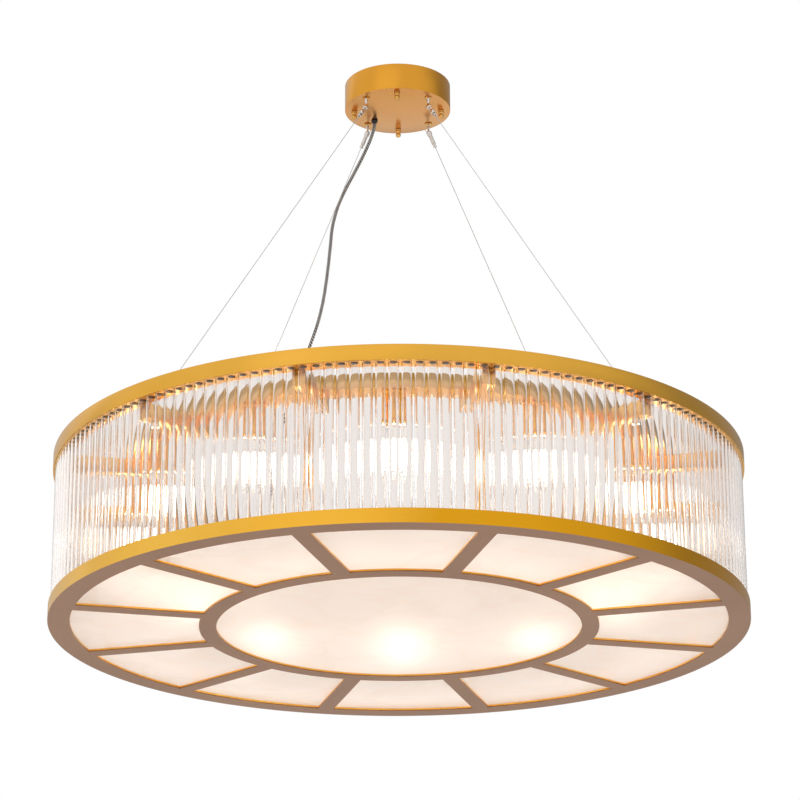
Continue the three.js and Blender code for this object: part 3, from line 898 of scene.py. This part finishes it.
@dataclass
class Studio:
    """Camera, soft light, floor and white surroundings. Metres and degrees, but the roll is in radians."""

    camera_place: Point = (0.0022, -4.2108, -2.0531)
    camera_azimuth: float = 0.7
    camera_pitch: float = 110.13
    camera_roll: float = -0.0032
    lens: float = 137.46
    sensor: float = 36.0
    view_end: float = 60.0
    light_bounces: int = 20
    clear_bounces: int = 24
    softboxes: Sequence[tuple[str, Point, float, float]] = (
        ("softbox_front", (-2.2, -5.2, 1.3), 5.0, 14.0),
        ("softbox_right", (4.2, -1.0, 0.8), 2.5, 3.0),
        ("softbox_back", (-3.2, 3.4, 1.0), 4.0, 14.0),
    )
    light_target: Point = (0.0, 0.0, -0.7)
    bright_side: Point = (-0.42, -0.84, 0.34)
    dim_glow: float = 0.38
    glow_edge: tuple[float, float] = (-0.55, 0.5)
    backdrop_through_glass: Colour = (0.86, 0.82, 0.8, 1.0)
    floor_level: float = -2.5
    floor_radius: float = 14.0
    floor_colour: Colour = (0.86, 0.85, 0.84, 1.0)
    floor_sheen: float = 0.9

    def build(self) -> None:
        """Sets up the whole studio."""
        self.place_camera()
        self.light()
        self.surround()
        self.lay_floor()
        scene = bpy.context.scene
        scene.view_settings.view_transform = "Standard"
        scene.cycles.use_denoising = True
        scene.cycles.max_bounces = self.light_bounces
        scene.cycles.transmission_bounces = self.light_bounces
        scene.cycles.transparent_max_bounces = self.clear_bounces
        scene.cycles.caustics_reflective = False

    def place_camera(self) -> None:
        """Puts the camera where the photographer stood."""
        data = bpy.data.cameras.new("photographer")
        data.lens = self.lens
        data.sensor_width = self.sensor
        data.clip_end = self.view_end
        camera = bpy.data.objects.new("photographer", data)
        stand = Matrix.Rotation(math.radians(self.camera_azimuth), 4, "Z")
        pitch = Matrix.Rotation(math.radians(self.camera_pitch), 4, "X")
        roll = Matrix.Rotation(self.camera_roll, 4, "Z")
        camera.matrix_world = stand @ Matrix.Translation(self.camera_place) @ (pitch @ roll)
        bpy.context.scene.collection.objects.link(camera)
        bpy.context.scene.camera = camera

    def light(self) -> None:
        """Hangs three large softboxes."""
        for name, place, size, power in self.softboxes:
            data = bpy.data.lights.new(name, "AREA")
            data.shape = "SQUARE"
            data.size = size
            data.energy = power
            lamp = bpy.data.objects.new(name, data)
            aim = Vector(self.light_target) - Vector(place)
            lamp.matrix_world = Matrix.Translation(place) @ aim.to_track_quat("-Z", "Y").to_matrix().to_4x4()
            bpy.context.scene.collection.objects.link(lamp)

    def surround(self) -> None:
        """Makes the white surroundings, with a softer tone in reflections and in the light on the object."""
        world = bpy.data.worlds.new("studio")
        bpy.context.scene.world = world
        graph = Graph("studio", world)
        through = graph.ray("Is Transmission Ray")
        seen = graph.math("MAXIMUM", graph.ray("Is Camera Ray"), through)
        tone = graph.blend(through, WHITE, self.backdrop_through_glass)
        direction = graph.node("ShaderNodeTexCoord").outputs["Generated"]
        front = graph.node("ShaderNodeVectorMath", {0: direction, 1: self.bright_side},
                           operation="DOT_PRODUCT").outputs["Value"]
        glow = graph.remap(front, self.dim_glow, 1.0, *self.glow_edge, interpolation_type="SMOOTHSTEP")
        strength = graph.node("ShaderNodeMix", {"Factor": seen, 2: glow, 3: 1.0}).outputs[0]
        background = graph.node("ShaderNodeBackground", {"Color": tone, "Strength": strength})
        graph.node("ShaderNodeOutputWorld", {0: background.outputs[0]})

    def lay_floor(self) -> None:
        """Lays the pale floor far below the chandelier."""
        shape = bmesh.new()
        bmesh.ops.create_circle(shape, segments=64, radius=self.floor_radius, cap_ends=True)
        bmesh.ops.translate(shape, vec=(0, 0, self.floor_level), verts=shape.verts[:])
        graph = Graph("studio_floor")
        cloud = graph.noise(graph.place(), 3.0)
        paint = graph.shader({"Base Color": self.floor_colour, "Roughness": graph.about(cloud, 0.8, 0.05)})
        sheen = graph.node("ShaderNodeEmission", {"Color": WHITE, "Strength": self.floor_sheen}).outputs[0]
        finish = graph.surface(graph.swap(graph.ray("Is Glossy Ray"), paint, sheen))
        floor = settle("studio_floor", baked("studio_floor", shape), [finish])


@dataclass
class PowerCord:
    """The braided mains cord from the canopy's gland to the wiring channel."""

    finishes: Finishes
    radius: float = 2.5
    steps: int = 8
    route: Sequence[Point] = (
        (-36, 33, -46.6), (-36, 33, -51), (-41, 43, -65), (-54, 63, -87), (-68, 86, -105),
        (-83, 111, -123), (-94, 130, -140), (-100, 140, -156), (-104, 146, -172), (-107, 152, -200),
        (-110, 157, -228), (-114, 164, -258), (-119, 172, -286), (-127, 185, -314), (-140, 207, -344),
        (-155, 232, -374), (-170, 257, -407), (-184, 281, -443), (-195, 300, -483), (-203, 313, -527),
        (-206.7, 318.3, -570), (-206.7, 318.3, -596), (-206.7, 318.3, -607.5),
    )

    def build(self) -> None:
        points = catmull_rom(self.route, self.steps)
        cord = settle("braided_cord", swept(points, self.radius, 4), [self.finishes.braid], 80.0)
        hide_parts("power_cord")
        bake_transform(cord)


@dataclass
class CeilingRose:
    """Bracket, canopy, cap nuts, terminal block and gland. Outlines of small parts start at their seat."""

    finishes: Finishes
    radius: float = 80.0
    top: float = -0.8
    underside: float = -41.8
    wall: float = 1.5
    rounding: float = 0.7
    sides: int = 128
    fitting_circle: float = 66.0
    nut: Outline = (
        (0, -8), (2.3, -8), (2.3, 0), (4.6, 0), (4.6, -0.8), (4.3, -1.1), (4.5, -3.0), (4.2, -4.9),
        (3.3, -5.7), (3.3, -6.1), (3.9, -7.0), (4.1, -8.6), (3.8, -10.4), (2.7, -12.0), (1.3, -12.7),
        (0, -12.9),
    )
    gland_place: tuple[float, float] = (-36.0, 33.0)
    gland: Outline = (
        (0, 5.5), (3.4, 5.5), (3.4, 0), (4.9, 0), (4.9, -2), (3.8, -2.6), (3.5, -4.2), (0, -4.2),
    )
    gland_ribs: int = 6
    rib_circle: float = 4.5
    rib_size: Point = (1.6, 1.0, 2.0)
    screw_radius: float = 1.9
    screw_slot: float = 0.5
    wire_radius: float = 0.9

    def build(self) -> None:
        """Builds every piece of the rose."""
        self.build_canopy()
        self.build_nuts()
        self.build_gland()
        self.build_block()
        dress("ceiling_bracket", self.finishes.bracket_steel)

    def build_canopy(self) -> None:
        """Spins the cup, with its face and side polished apart."""
        inner, floor = self.radius - self.wall, self.underside + self.wall
        cup = turned([
            (0, floor), (inner, floor), (inner, self.top), (self.radius, self.top),
            (self.radius, self.underside), (0, self.underside),
        ], self.sides, self.rounding, 3)
        for face in cup.faces:
            face.material_index = int(face.normal.z < FACES_DOWN)
        piece("canopy_cup", cup, Body.CANOPY,
              [self.finishes.canopy_side, self.finishes.canopy_face], ["canopy_shell"])

    def build_nuts(self) -> None:
        """Turns the four ball-ended cap nuts."""
        nut = turned(self.nut, 28, 0.15, level=self.underside - FIT_GAP)
        for index in range(GRIPS):
            piece(f"ball_nut_{index + 1}", placed(nut, spoke(90.0 * index, self.fitting_circle)), Body.CANOPY,
                  [self.finishes.nut_brass], [f"cap_nut_{index + 1}"], 50.0)

    def build_gland(self) -> None:
        """Turns the black gland that holds the cord."""
        seat = self.underside - FIT_GAP
        place = Matrix.Translation((self.gland_place[0] * MM, self.gland_place[1] * MM, 0))
        shape = placed(turned(self.gland, 24, 0.25, level=seat), place)
        width, depth, height = self.rib_size
        rib = block(width, depth, seat - height, seat, 0.2)
        for index in range(self.gland_ribs):
            stamp(shape, rib, place @ spoke(360 / self.gland_ribs * index, self.rib_circle))
        piece("cord_strain_gland", shape, Body.CANOPY, [self.finishes.nylon],
              ["cord_gland"])

    def build_block(self) -> None:
        """Dresses the terminal block, and adds its screws and the wires from the gland."""
        dress("terminal_block", self.finishes.plastic)
        low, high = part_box("terminal_block")
        middle, top = (low + high) / 2 / MM, high.z / MM
        step, side = (high.x - low.x) / MM / 3, (high.y - low.y) / MM / 4
        head = post(self.screw_radius, top - 0.3, top + 0.8, 14, 0.2)
        cut = block(self.screw_slot, 2.2 * self.screw_radius, top + 0.7, top + 0.9)
        screws = bmesh.new()
        for column in (-1, 0, 1):
            for row in (-1, 1):
                place = Matrix.Translation(Vector((middle.x + column * step, middle.y + row * side, 0)) * MM)
                stamp(screws, head, place)
                stamp(screws, cut, place, 1)
        piece("terminal_screws", screws, Body.CANOPY,
              [self.finishes.bracket_steel, self.finishes.nylon])
        colours = (self.finishes.wire_brown, self.finishes.wire_green, self.finishes.wire_blue)
        for column, colour in zip((-1, 0, 1), colours):
            end = (middle.x + column * step, high.y / MM - 0.5, middle.z + 1)
            self.build_wire(column, end, top, colour)

    def build_wire(self, column: int, end: Point, top: float, colour: Material) -> None:
        """Leads a supply wire from the gland to the terminal block.

        Args:
            column: The way of the block that it goes to, from -1 to 1.
            end: The wire's end in the block.
            top: Height of the block's top.
            colour: Its finish.
        """
        across, along = self.gland_place
        route = (
            (across + column * 1.3, along, self.underside + 4.5), (across + 6 + column * 2, along, top - 4),
            (end[0] + column - 4, end[1] + 12, top), end,
        )
        mesh = swept(catmull_rom(route, 8), self.wire_radius, 3)
        mount(settle(f"supply_wire_{column + 2}", mesh, [colour], 60.0), Body.CANOPY)


@dataclass
class CableRun:
    """One grip with its steel cable, from the canopy to its socket on the drum.

    The outlines of barrel, plunger and ball start at the pivot or the ball's middle, along the cable.
    """

    finishes: Finishes
    number: int
    pivot_circle: float = 66.0
    pivot_level: float = -55.0
    anchor_circle: float = 460.0
    anchor_level: float = -633.0
    underside: float = -41.8
    washer: float = 1.8
    stem_top: Outline = ((0, -37.0), (5.5, -37.0), (5.5, -40.0), (3.0, -40.0))
    stem_base: Outline = ((3.0, 0), (5.6, 0), (5.6, -1.0), (4.0, -1.4), (2.2, -1.4))
    stem_ball: Outline = (
        (2.2, 5.2), (1.4, 4.4), (1.4, 2.3), (2.3, 1.2), (2.6, 0), (2.3, -1.2), (1.4, -2.2), (0, -2.6),
    )
    barrel: Outline = (
        (0, -3.25), (1.9, -2.7), (3.0, -1.2), (3.2, 0.1), (4.1, 0.1), (4.1, -5.0), (3.3, -6.4), (3.1, -6.6),
        (3.1, -11.0), (2.85, -11.2), (2.85, -11.8), (3.1, -12.0), (3.1, -21.0), (2.4, -21.0), (2.4, -13.0),
        (0, -13.0),
    )
    plunger: Outline = (
        (2.1, -15.3), (2.1, -23.3), (2.8, -23.5), (2.8, -26.0), (2.4, -26.3), (1.2, -26.3), (1.2, -15.3),
    )
    cable_ball: Outline = (
        (0, 3.0), (1.6, 2.6), (2.6, 1.5), (3.0, 0), (2.6, -1.5), (1.6, -2.6), (0, -3.0),
    )
    rope: WireRope = WireRope()
    rope_top: float = -13.3
    tail_place: Point = (0, 2.6, -4.0)
    tail_lean: float = -20.0
    tail_length: float = 9.0

    def azimuth(self) -> float:
        """Gives the grip's azimuth in degrees."""
        return 45.0 + 90.0 * (self.number - 1)

    def hanging(self) -> Matrix:
        """Gives the place that hangs at the pivot along the cable's line.

        Returns:
            The place, whose -Z points down the cable.
        """
        line = Vector((0, self.pivot_circle - self.anchor_circle, self.anchor_level - self.pivot_level))
        tilt = Vector((0, 0, -1)).rotation_difference(line.normalized()).to_matrix().to_4x4()
        return spoke(self.azimuth(), self.pivot_circle, self.pivot_level) @ tilt

    def build(self) -> None:
        """Builds stem, barrel, plunger and rope."""
        body, place, number, finishes = f"cable_{self.number}", self.hanging(), self.number, self.finishes
        piece(f"grip_ball_stem_{number}", self.stem(), Body.CANOPY,
              [finishes.chrome, finishes.nut_brass], [f"grip_stem_{number}"], 50.0)
        piece(f"grip_barrel_shell_{number}", placed(turned(self.barrel, 24, 0.12), place), body,
              [finishes.chrome], [f"grip_barrel_{number}"], 50.0)
        piece(f"release_plunger_{number}", placed(turned(self.plunger, 24, 0.1), place), f"plunger_{number}",
              [finishes.chrome], [f"grip_plunger_{number}"], 50.0)
        piece(f"wire_rope_{number}", self.cable(), body,
              [finishes.rope_steel, finishes.chrome], [f"suspension_cable_{number}"], 60.0)

    def stem(self) -> Shape:
        """Turns the stem with its lock nut, brass washer and ball.

        Returns:
            The closed shape.
        """
        seat = self.underside - FIT_GAP
        outline = [
            *self.stem_top,
            *((radius, seat + height) for radius, height in self.stem_base),
            *((radius, self.pivot_level + height) for radius, height in self.stem_ball),
        ]
        stem = placed(turned(outline, 24, 0.12), spoke(self.azimuth(), self.pivot_circle))
        for face in stem.faces:
            height = face.calc_center_median().z / MM
            face.material_index = int(self.underside - self.washer < height < self.underside)
        return stem

    def cable(self) -> Shape:
        """Lays the rope with its tail beside the barrel and its ball in the socket.

        Returns:
            The closed shapes.
        """
        length = math.hypot(self.pivot_circle - self.anchor_circle, self.anchor_level - self.pivot_level)
        place = self.hanging()
        shape = placed(self.rope.along(-length + 2.6, self.rope_top), place)
        lean = Matrix.Rotation(math.radians(self.tail_lean), 4, "X")
        tail = Matrix.Translation(Vector(self.tail_place) * MM) @ lean
        stamp(shape, self.rope.along(0.0, self.tail_length), place @ tail)
        return stamp(shape, turned(self.cable_ball, 20, level=-length), place, 1)


@dataclass
class UpperRing:
    """The rolled band with its flange."""

    finishes: Finishes
    radius: float = 500.0
    thickness: float = 2.0
    top: float = -614.6
    low: float = -636.6
    flange_low: float = -633.3
    flange_high: float = -631.3
    flange_inner: float = 474.3
    sides: int = 240
    rounding: float = 0.35

    def build(self) -> None:
        """Spins the ring, with its inside finished apart."""
        inner = self.radius - self.thickness
        shape = turned([
            (self.radius, self.top), (self.radius, self.low), (inner, self.low), (inner, self.flange_low),
            (self.flange_inner, self.flange_low), (self.flange_inner, self.flange_high),
            (inner, self.flange_high), (inner, self.top),
        ], self.sides, self.rounding)
        for face in shape.faces:
            face.material_index = int(reach(face) < (inner + 0.5) * MM)
        piece("top_band_and_flange", shape, Body.DRUM,
              [self.finishes.top_brass, self.finishes.inner_brass], ["upper_ring"])


@dataclass
class TubeWall:
    """The 180 hollow glass tubes with their hanger rails."""

    finishes: Finishes
    banks: int = 6
    first_bank: float = 45.0
    tubes_in_bank: int = 30
    pitch: float = 2.0
    circle: float = 489.0
    radius: float = 7.5
    bore: float = 5.8
    foot: float = -854.7
    top: float = -635.9
    rail_low: float = -636.6
    rail_high: float = -633.6
    rail_inner: float = 474.3
    rail_outer: float = 497.7
    rail_gap: float = 0.3
    rail_steps: int = 40
    sides: int = 16
    plug_radius: float = 4.9
    plug_sides: int = 14

    def build(self) -> None:
        """Builds a bank of tubes and a rail for each sixth of the drum."""
        tube = ring(self.bore, self.radius, self.foot, self.top, self.sides)
        plug = post(self.plug_radius, self.rail_low - 0.5, self.rail_low + 0.2, self.plug_sides, 0.2)
        for bank in range(1, self.banks + 1):
            middle = self.first_bank + 360 / self.banks * (bank - 1)
            glass, plugs = bmesh.new(), bmesh.new()
            for tube_number in range(self.tubes_in_bank):
                azimuth = middle + (tube_number - (self.tubes_in_bank - 1) / 2) * self.pitch
                stamp(glass, tube, spoke(azimuth, self.circle))
                stamp(plugs, plug, spoke(azimuth, self.circle))
            piece(f"glass_tubes_{bank}", glass, Body.DRUM, [self.finishes.glass],
                  [f"glass_tube_bank_{bank}"], 40.0)
            # The plugs' dark brown is painted shade in the tubes' blind ends.
            piece(f"tube_plugs_{bank}", plugs, Body.DRUM, [self.finishes.plug_painted_shade])
            piece(f"hanger_rail_{bank}", self.rail(middle), Body.DRUM,
                  [self.finishes.inner_brass])

    def rail(self, middle: float) -> Shape:
        """Spins one rail through its sixth of a turn.

        Args:
            middle: Azimuth of its middle in degrees.

        Returns:
            The closed shape.
        """
        shape = bmesh.new()
        corners = [shape.verts.new((0, -radius * MM, height * MM)) for radius, height in (
            (self.rail_outer, self.rail_high), (self.rail_outer, self.rail_low),
            (self.rail_inner, self.rail_low), (self.rail_inner, self.rail_high),
        )]
        section = shape.faces.new(corners)
        sweep = math.radians(360 / self.banks) - self.rail_gap / self.circle
        start = Matrix.Rotation(math.radians(middle) - sweep / 2, 3, "Z")
        bmesh.ops.rotate(shape, cent=(0, 0, 0), matrix=start, verts=shape.verts[:])
        spin(shape, [section], sweep, self.rail_steps)
        face_out(shape)
        return shape


@dataclass
class LowerFrame:
    """The cut plate of rings and spokes, its band and the tie rods above it."""

    finishes: Finishes
    radius: float = 500.0
    band_inner: float = 498.0
    rim_inner: float = 468.5
    centre_outer: float = 285.5
    centre_inner: float = 261.0
    low: float = -859.0
    plate_top: float = -855.0
    band_top: float = -839.0
    spokes: int = 12
    spoke_width: float = 24.0
    lip: float = 2.0
    sides: int = 240
    tie_circle: float = 440.0
    tie_radius: float = 1.6
    tie_spread: float = 7.5
    tie_sides: int = 12
    arm_low: float = -658.9

    def spoke_azimuths(self) -> list[float]:
        """Gives the spokes' azimuths in degrees."""
        return [360 / self.spokes * (index + 0.5) for index in range(self.spokes)]

    def build(self) -> None:
        """Cuts the plate, raises its band, gives its underside a darker taupe finish that is partly painted
        shade, and adds the tie rods.
        """
        shape = self.disc()
        self.cut_panes(shape)
        self.thicken(shape)
        # The underside and the lowest strip of the edges get the taupe finish, partly painted shade; the rest
        # of the edges get brighter brass.
        for face in shape.faces:
            outside = reach(face) > (self.band_inner + 1) * MM and abs(face.normal.z) < 0.5
            under = face.calc_center_median().z < (self.low + self.lip) * MM
            face.material_index = 0 if outside else 1 if under else 2
        piece("lower_band_and_spokes", shape, Body.DRUM,
              [self.finishes.band_brass, self.finishes.taupe_and_painted_shade, self.finishes.edge_brass],
              ["bottom_frame"], 30.0)
        for number, azimuth in enumerate(self.spoke_azimuths(), 1):
            self.build_tie(number, azimuth)

    def disc(self) -> Shape:
        """Spins the plate's underside, from the centre ring's bore to the band's outside.

        Returns:
            The open, flat shape.
        """
        shape = bmesh.new()
        radii = (self.centre_inner, self.centre_outer, self.rim_inner, self.band_inner, self.radius)
        corners = [shape.verts.new((0, -radius * MM, self.low * MM)) for radius in radii]
        line = [shape.edges.new(pair) for pair in zip(corners, corners[1:])]
        spin(shape, corners + line, FULL_TURN, self.sides, True)
        merge(shape)
        return shape

    def cut_panes(self, shape: Shape) -> None:
        """Cuts out what lies between the spokes.

        Args:
            shape: The flat plate.
        """
        half = self.spoke_width / 2 * MM
        turns = [Matrix.Rotation(math.radians(azimuth), 3, "Z") for azimuth in self.spoke_azimuths()]
        lines = [(turn @ Vector((0, -1, 0)), turn @ Vector((1, 0, 0))) for turn in turns]
        for outward, across in lines:
            for side in (-half, half):
                faces = [face for face in shape.faces
                         if self.is_pane(face) and is_beside(face, outward, across, 3 * half)]
                edges = {edge for face in faces for edge in face.edges}
                verts = {vert for face in faces for vert in face.verts}
                bmesh.ops.bisect_plane(shape, geom=[*faces, *edges, *verts], plane_co=across * side,
                                       plane_no=across, dist=CUT_DISTANCE)
        gone = [face for face in shape.faces
                if self.is_pane(face) and not any(is_beside(face, *line, half) for line in lines)]
        bmesh.ops.delete(shape, geom=gone, context="FACES")
        merge(shape)

    def thicken(self, shape: Shape) -> None:
        """Gives the plate its thickness and band, and an edge where its darker underside finish, partly
        painted shade, ends.

        Args:
            shape: The flat plate with its panes cut out.
        """
        raise_faces(shape, shape.faces[:], self.plate_top - self.low)
        face_out(shape)
        rim = [face for face in shape.faces if abs(face.normal.z) > 0.9 and reach(face) > self.band_inner * MM
               and face.calc_center_median().z > (self.plate_top - 0.1) * MM]
        raise_faces(shape, rim, self.band_top - self.plate_top, False)
        bmesh.ops.bisect_plane(shape, geom=shape.verts[:] + shape.edges[:] + shape.faces[:],
                               plane_co=(0, 0, (self.low + self.lip) * MM), plane_no=(0, 0, 1),
                               dist=CUT_DISTANCE)
        face_out(shape)

    def is_pane(self, face: Face) -> bool:
        """Tells whether a face lies between the centre ring and the rim."""
        return self.centre_outer * MM < reach(face) < self.rim_inner * MM

    def build_tie(self, number: int, azimuth: float) -> None:
        """Crosses two thin rods between a spoke and the arm above it.

        Args:
            number: The tie's number.
            azimuth: Its azimuth in degrees.
        """
        low, high = self.plate_top - FIT_GAP, self.arm_low - FIT_GAP
        middle, half = (low + high) / 2, (high - low) / 2
        rod = post(self.tie_radius, -half, half, self.tie_sides, 0.1)
        rods = bmesh.new()
        for side in (-1, 1):
            lean = Matrix.Rotation(side * math.atan2(self.tie_spread, half), 4, "Y")
            stamp(rods, rod, spoke(azimuth, self.tie_circle + side * 1.2 * self.tie_radius, middle) @ lean)
        piece(f"tie_rods_{number:02d}", rods, Body.DRUM, [self.finishes.holder_brass])


@dataclass
class Diffusers:
    """The frosted centre disc and the frosted outer ring."""

    finishes: Finishes
    low: float = -854.7
    high: float = -851.7
    split: float = 273.0
    half_gap: float = 0.5
    outer: float = 480.5

    def build(self) -> None:
        """Builds both diffusers."""
        disc = post(self.split - self.half_gap, self.low, self.high, 128, 0.3)
        outer = ring(self.split + self.half_gap, self.outer, self.low, self.high, 160, 0.3)
        for name, shape, node in (("frosted_disc", disc, "centre_diffuser"),
                                  ("frosted_ring", outer, "outer_diffuser")):
            piece(name, shape, Body.DRUM, [self.finishes.frosted], [node])


@dataclass
class WiringRing:
    """Wiring channel with its arms, cable sockets, cord entry and wires."""

    finishes: Finishes
    inner: float = 362.0
    outer: float = 397.0
    low: float = -637.4
    high: float = -616.0
    wall: float = 1.5
    sides: int = 200
    first_arm: float = 15.0
    arm_width: float = 18.0
    arm_start: float = 366.0
    arm_end: float = 480.5
    arm_low: float = -658.9
    arm_high: float = -636.9
    screw_radius: float = 2.6
    screw_inset: float = 8.0
    anchor_circle: float = 460.0
    socket_top: float = 3.3
    socket_drop: float = 8.0
    lamp_circle: float = 379.5
    cord_azimuth: float = -147.0
    entry_size: Point = (26.0, 33.5, 1.5)
    boss: Outline = ((0, 8), (4.0, 8), (4.6, 7), (5.5, 6), (5.5, 1.5), (0, 1.5))
    wire_radius: float = 1.2
    wire_sides: int = 8
    wire_spread: float = 6.0
    connector_size: Point = (11.0, 18.0, 6.5)

    def build(self) -> None:
        """Builds the ring and what is welded to it."""
        self.build_channel()
        self.build_arms()
        self.build_sockets()
        self.build_entry()
        self.build_wiring()

    def build_channel(self) -> None:
        """Spins the open channel, with its underside finished apart."""
        inner, outer, low, high, wall = self.inner, self.outer, self.low, self.high, self.wall
        channel = turned([
            (outer, high), (outer, low), (inner, low), (inner, high), (inner + wall, high),
            (inner + wall, low + wall), (outer - wall, low + wall), (outer - wall, high),
        ], self.sides, 0.3)
        for face in channel.faces:
            face.material_index = int(face.normal.z < FACES_DOWN)
        # The channel's sides carry the painted reflection of their finish.
        piece("wiring_channel", channel, Body.DRUM,
              [self.finishes.channel_brass, self.finishes.arm_brass], ["lamp_carrier"])

    def build_arms(self) -> None:
        """Adds the twelve arms, each with two screws from below."""
        arm = block(self.arm_width, self.arm_end - self.arm_start, self.arm_low, self.arm_high, 0.8)
        screw = post(self.screw_radius, self.arm_low - 1.2, self.arm_low + 1, 16, 0.5)
        arms = bmesh.new()
        for index in range(LAMPS):
            azimuth = self.first_arm + 360 / LAMPS * index
            stamp(arms, arm, spoke(azimuth, (self.arm_end + self.arm_start) / 2))
            for place in (self.arm_start + self.screw_inset, self.outer - self.screw_inset):
                stamp(arms, screw, spoke(azimuth, place), 1)
        piece("channel_arms", arms, Body.DRUM,
              [self.finishes.arm_brass, self.finishes.chrome])

    def build_sockets(self) -> None:
        """Turns the four chrome sockets that hold the cables' balls."""
        top, low = self.arm_high + self.socket_top, self.arm_low - self.socket_drop
        socket = turned([
            (0, top - 3.2), (2.0, top - 2.6), (3.3, top - 1.0), (3.8, top), (5.0, top), (5.0, low + 1),
            (4.2, low), (0, low),
        ], 24, 0.2)
        for index in range(GRIPS):
            piece(f"cable_socket_{index + 1}", placed(socket, spoke(45.0 + 90.0 * index, self.anchor_circle)),
                  Body.DRUM, [self.finishes.chrome], (), 50.0)

    def build_entry(self) -> None:
        """Builds the plate and the boss where the cord goes in."""
        place = spoke(self.cord_azimuth, self.lamp_circle)
        width, length, height = self.entry_size
        shape = placed(block(width, length, self.high, self.high + height, 0.3), place)
        stamp(shape, turned(self.boss, 24, 0.2, level=self.high), place, 1)
        piece("cord_entry", shape, Body.DRUM,
              [self.finishes.arm_brass, self.finishes.nylon])

    def build_wiring(self) -> None:
        """Lays two wires round the channel, with a connector over each lamp."""
        floor = self.low + self.wall
        turns = [FULL_TURN * corner / self.wire_sides for corner in range(self.wire_sides)]
        section = [(self.wire_radius * math.cos(turn), self.wire_radius * math.sin(turn)) for turn in turns]
        wiring = bmesh.new()
        for index, side in enumerate((-self.wire_spread, self.wire_spread)):
            wire = [(self.lamp_circle + side + out, up) for out, up in section]
            stamp(wiring, turned(wire, 180, level=floor + 1.8), None, index)
        width, length, height = self.connector_size
        connector = block(width, length, floor + FIT_GAP, floor + height, 0.6)
        for index in range(LAMPS):
            stamp(wiring, connector, spoke(360 / LAMPS * index, self.lamp_circle), 2)
        piece("lamp_wiring", wiring, Body.DRUM,
              [self.finishes.wire_brown, self.finishes.wire_blue, self.finishes.plastic])


@dataclass
class CandleLight:
    """One lampholder with its candle lamp. The lamp's outlines start at its shoulder, under the holder.

    Each row of crystal beads has its count, circle, drop and bead radius.
    """

    finishes: Finishes
    number: int
    circle: float = 379.5
    holder_top: float = -637.7
    holder_low: float = -683.4
    holder_radius: float = 14.0
    holder_bore: float = 7.4
    bore_depth: float = 28.0
    cap: Outline = (
        (0, 28.0), (7.0, 28.0), (7.0, 0), (10.0, -1.5), (11.0, -7), (10.0, -19), (11.0, -22), (0, -22),
    )
    bulb: Outline = (
        (0, -22), (11.0, -22.5), (14.4, -26), (15.4, -33), (15.4, -52), (13.4, -60), (7.6, -63), (0, -63.5),
    )
    bead_rows: Sequence[tuple[int, float, float, float]] = (
        (10, 11.6, 63.5, 3.3), (8, 8.6, 69.5, 3.3), (5, 5.2, 75.5, 3.2),
    )

    def build(self) -> None:
        """Builds the holder and the lamp."""
        label = f"{self.number:02d}"
        place = spoke(360 / LAMPS * (self.number - 1), self.circle)
        piece(f"candle_sleeve_{label}", placed(self.holder(), place), Body.DRUM,
              [self.finishes.holder_brass], [f"lampholder_{label}"])
        piece(f"candle_bulb_{label}", self.lamp(place), f"lamp_{label}",
              [self.finishes.lit, self.finishes.crystal], [f"candle_lamp_{label}"], 25.0)

    def holder(self) -> Shape:
        """Turns the sleeve with a rim at both ends and the lamp's bore.

        Returns:
            The closed shape.
        """
        top, low, radius, bore = self.holder_top, self.holder_low, self.holder_radius, self.holder_bore
        return turned([
            (0, top), (radius, top), (radius, top - 2.4), (radius - 1.0, top - 3.0), (radius - 1.0, low + 6),
            (radius, low + 5), (radius, low), (bore, low), (bore, low + self.bore_depth),
            (0, low + self.bore_depth),
        ], 32, 0.3)

    def lamp(self, place: Matrix) -> Shape:
        """Builds the lamp with its cap, lit bulb and rows of beads.

        Args:
            place: The lamp's place.

        Returns:
            The closed shapes, in which the bulb has the first finish.
        """
        start = self.holder_low - FIT_GAP
        lamp = stamp(bmesh.new(), turned(self.cap, 24, 0.3, level=start), place, 1)
        stamp(lamp, turned(self.bulb, 24, 1.0, level=start), place)
        for row, (count, circle, drop, radius) in enumerate(self.bead_rows):
            bead = bmesh.new()
            bmesh.ops.create_icosphere(bead, subdivisions=1, radius=radius * MM)
            for step in range(count):
                stamp(lamp, bead, place @ spoke(360 / count * (step + 0.5 * row), circle, start - drop), 1)
            bead.free()
        return lamp


def main() -> None:
    """Builds the chandelier in order."""
    logging.basicConfig(level=logging.INFO, format="%(name)s: %(message)s")
    Studio().build()
    finishes = Finishes()
    PowerCord(finishes).build()
    CeilingRose(finishes).build()
    for number in range(1, GRIPS + 1):
        CableRun(finishes, number).build()
    for assembly in (UpperRing, TubeWall, LowerFrame, Diffusers, WiringRing):
        assembly(finishes).build()
    for number in range(1, LAMPS + 1):
        CandleLight(finishes, number).build()


if __name__ == "__main__":
    main()
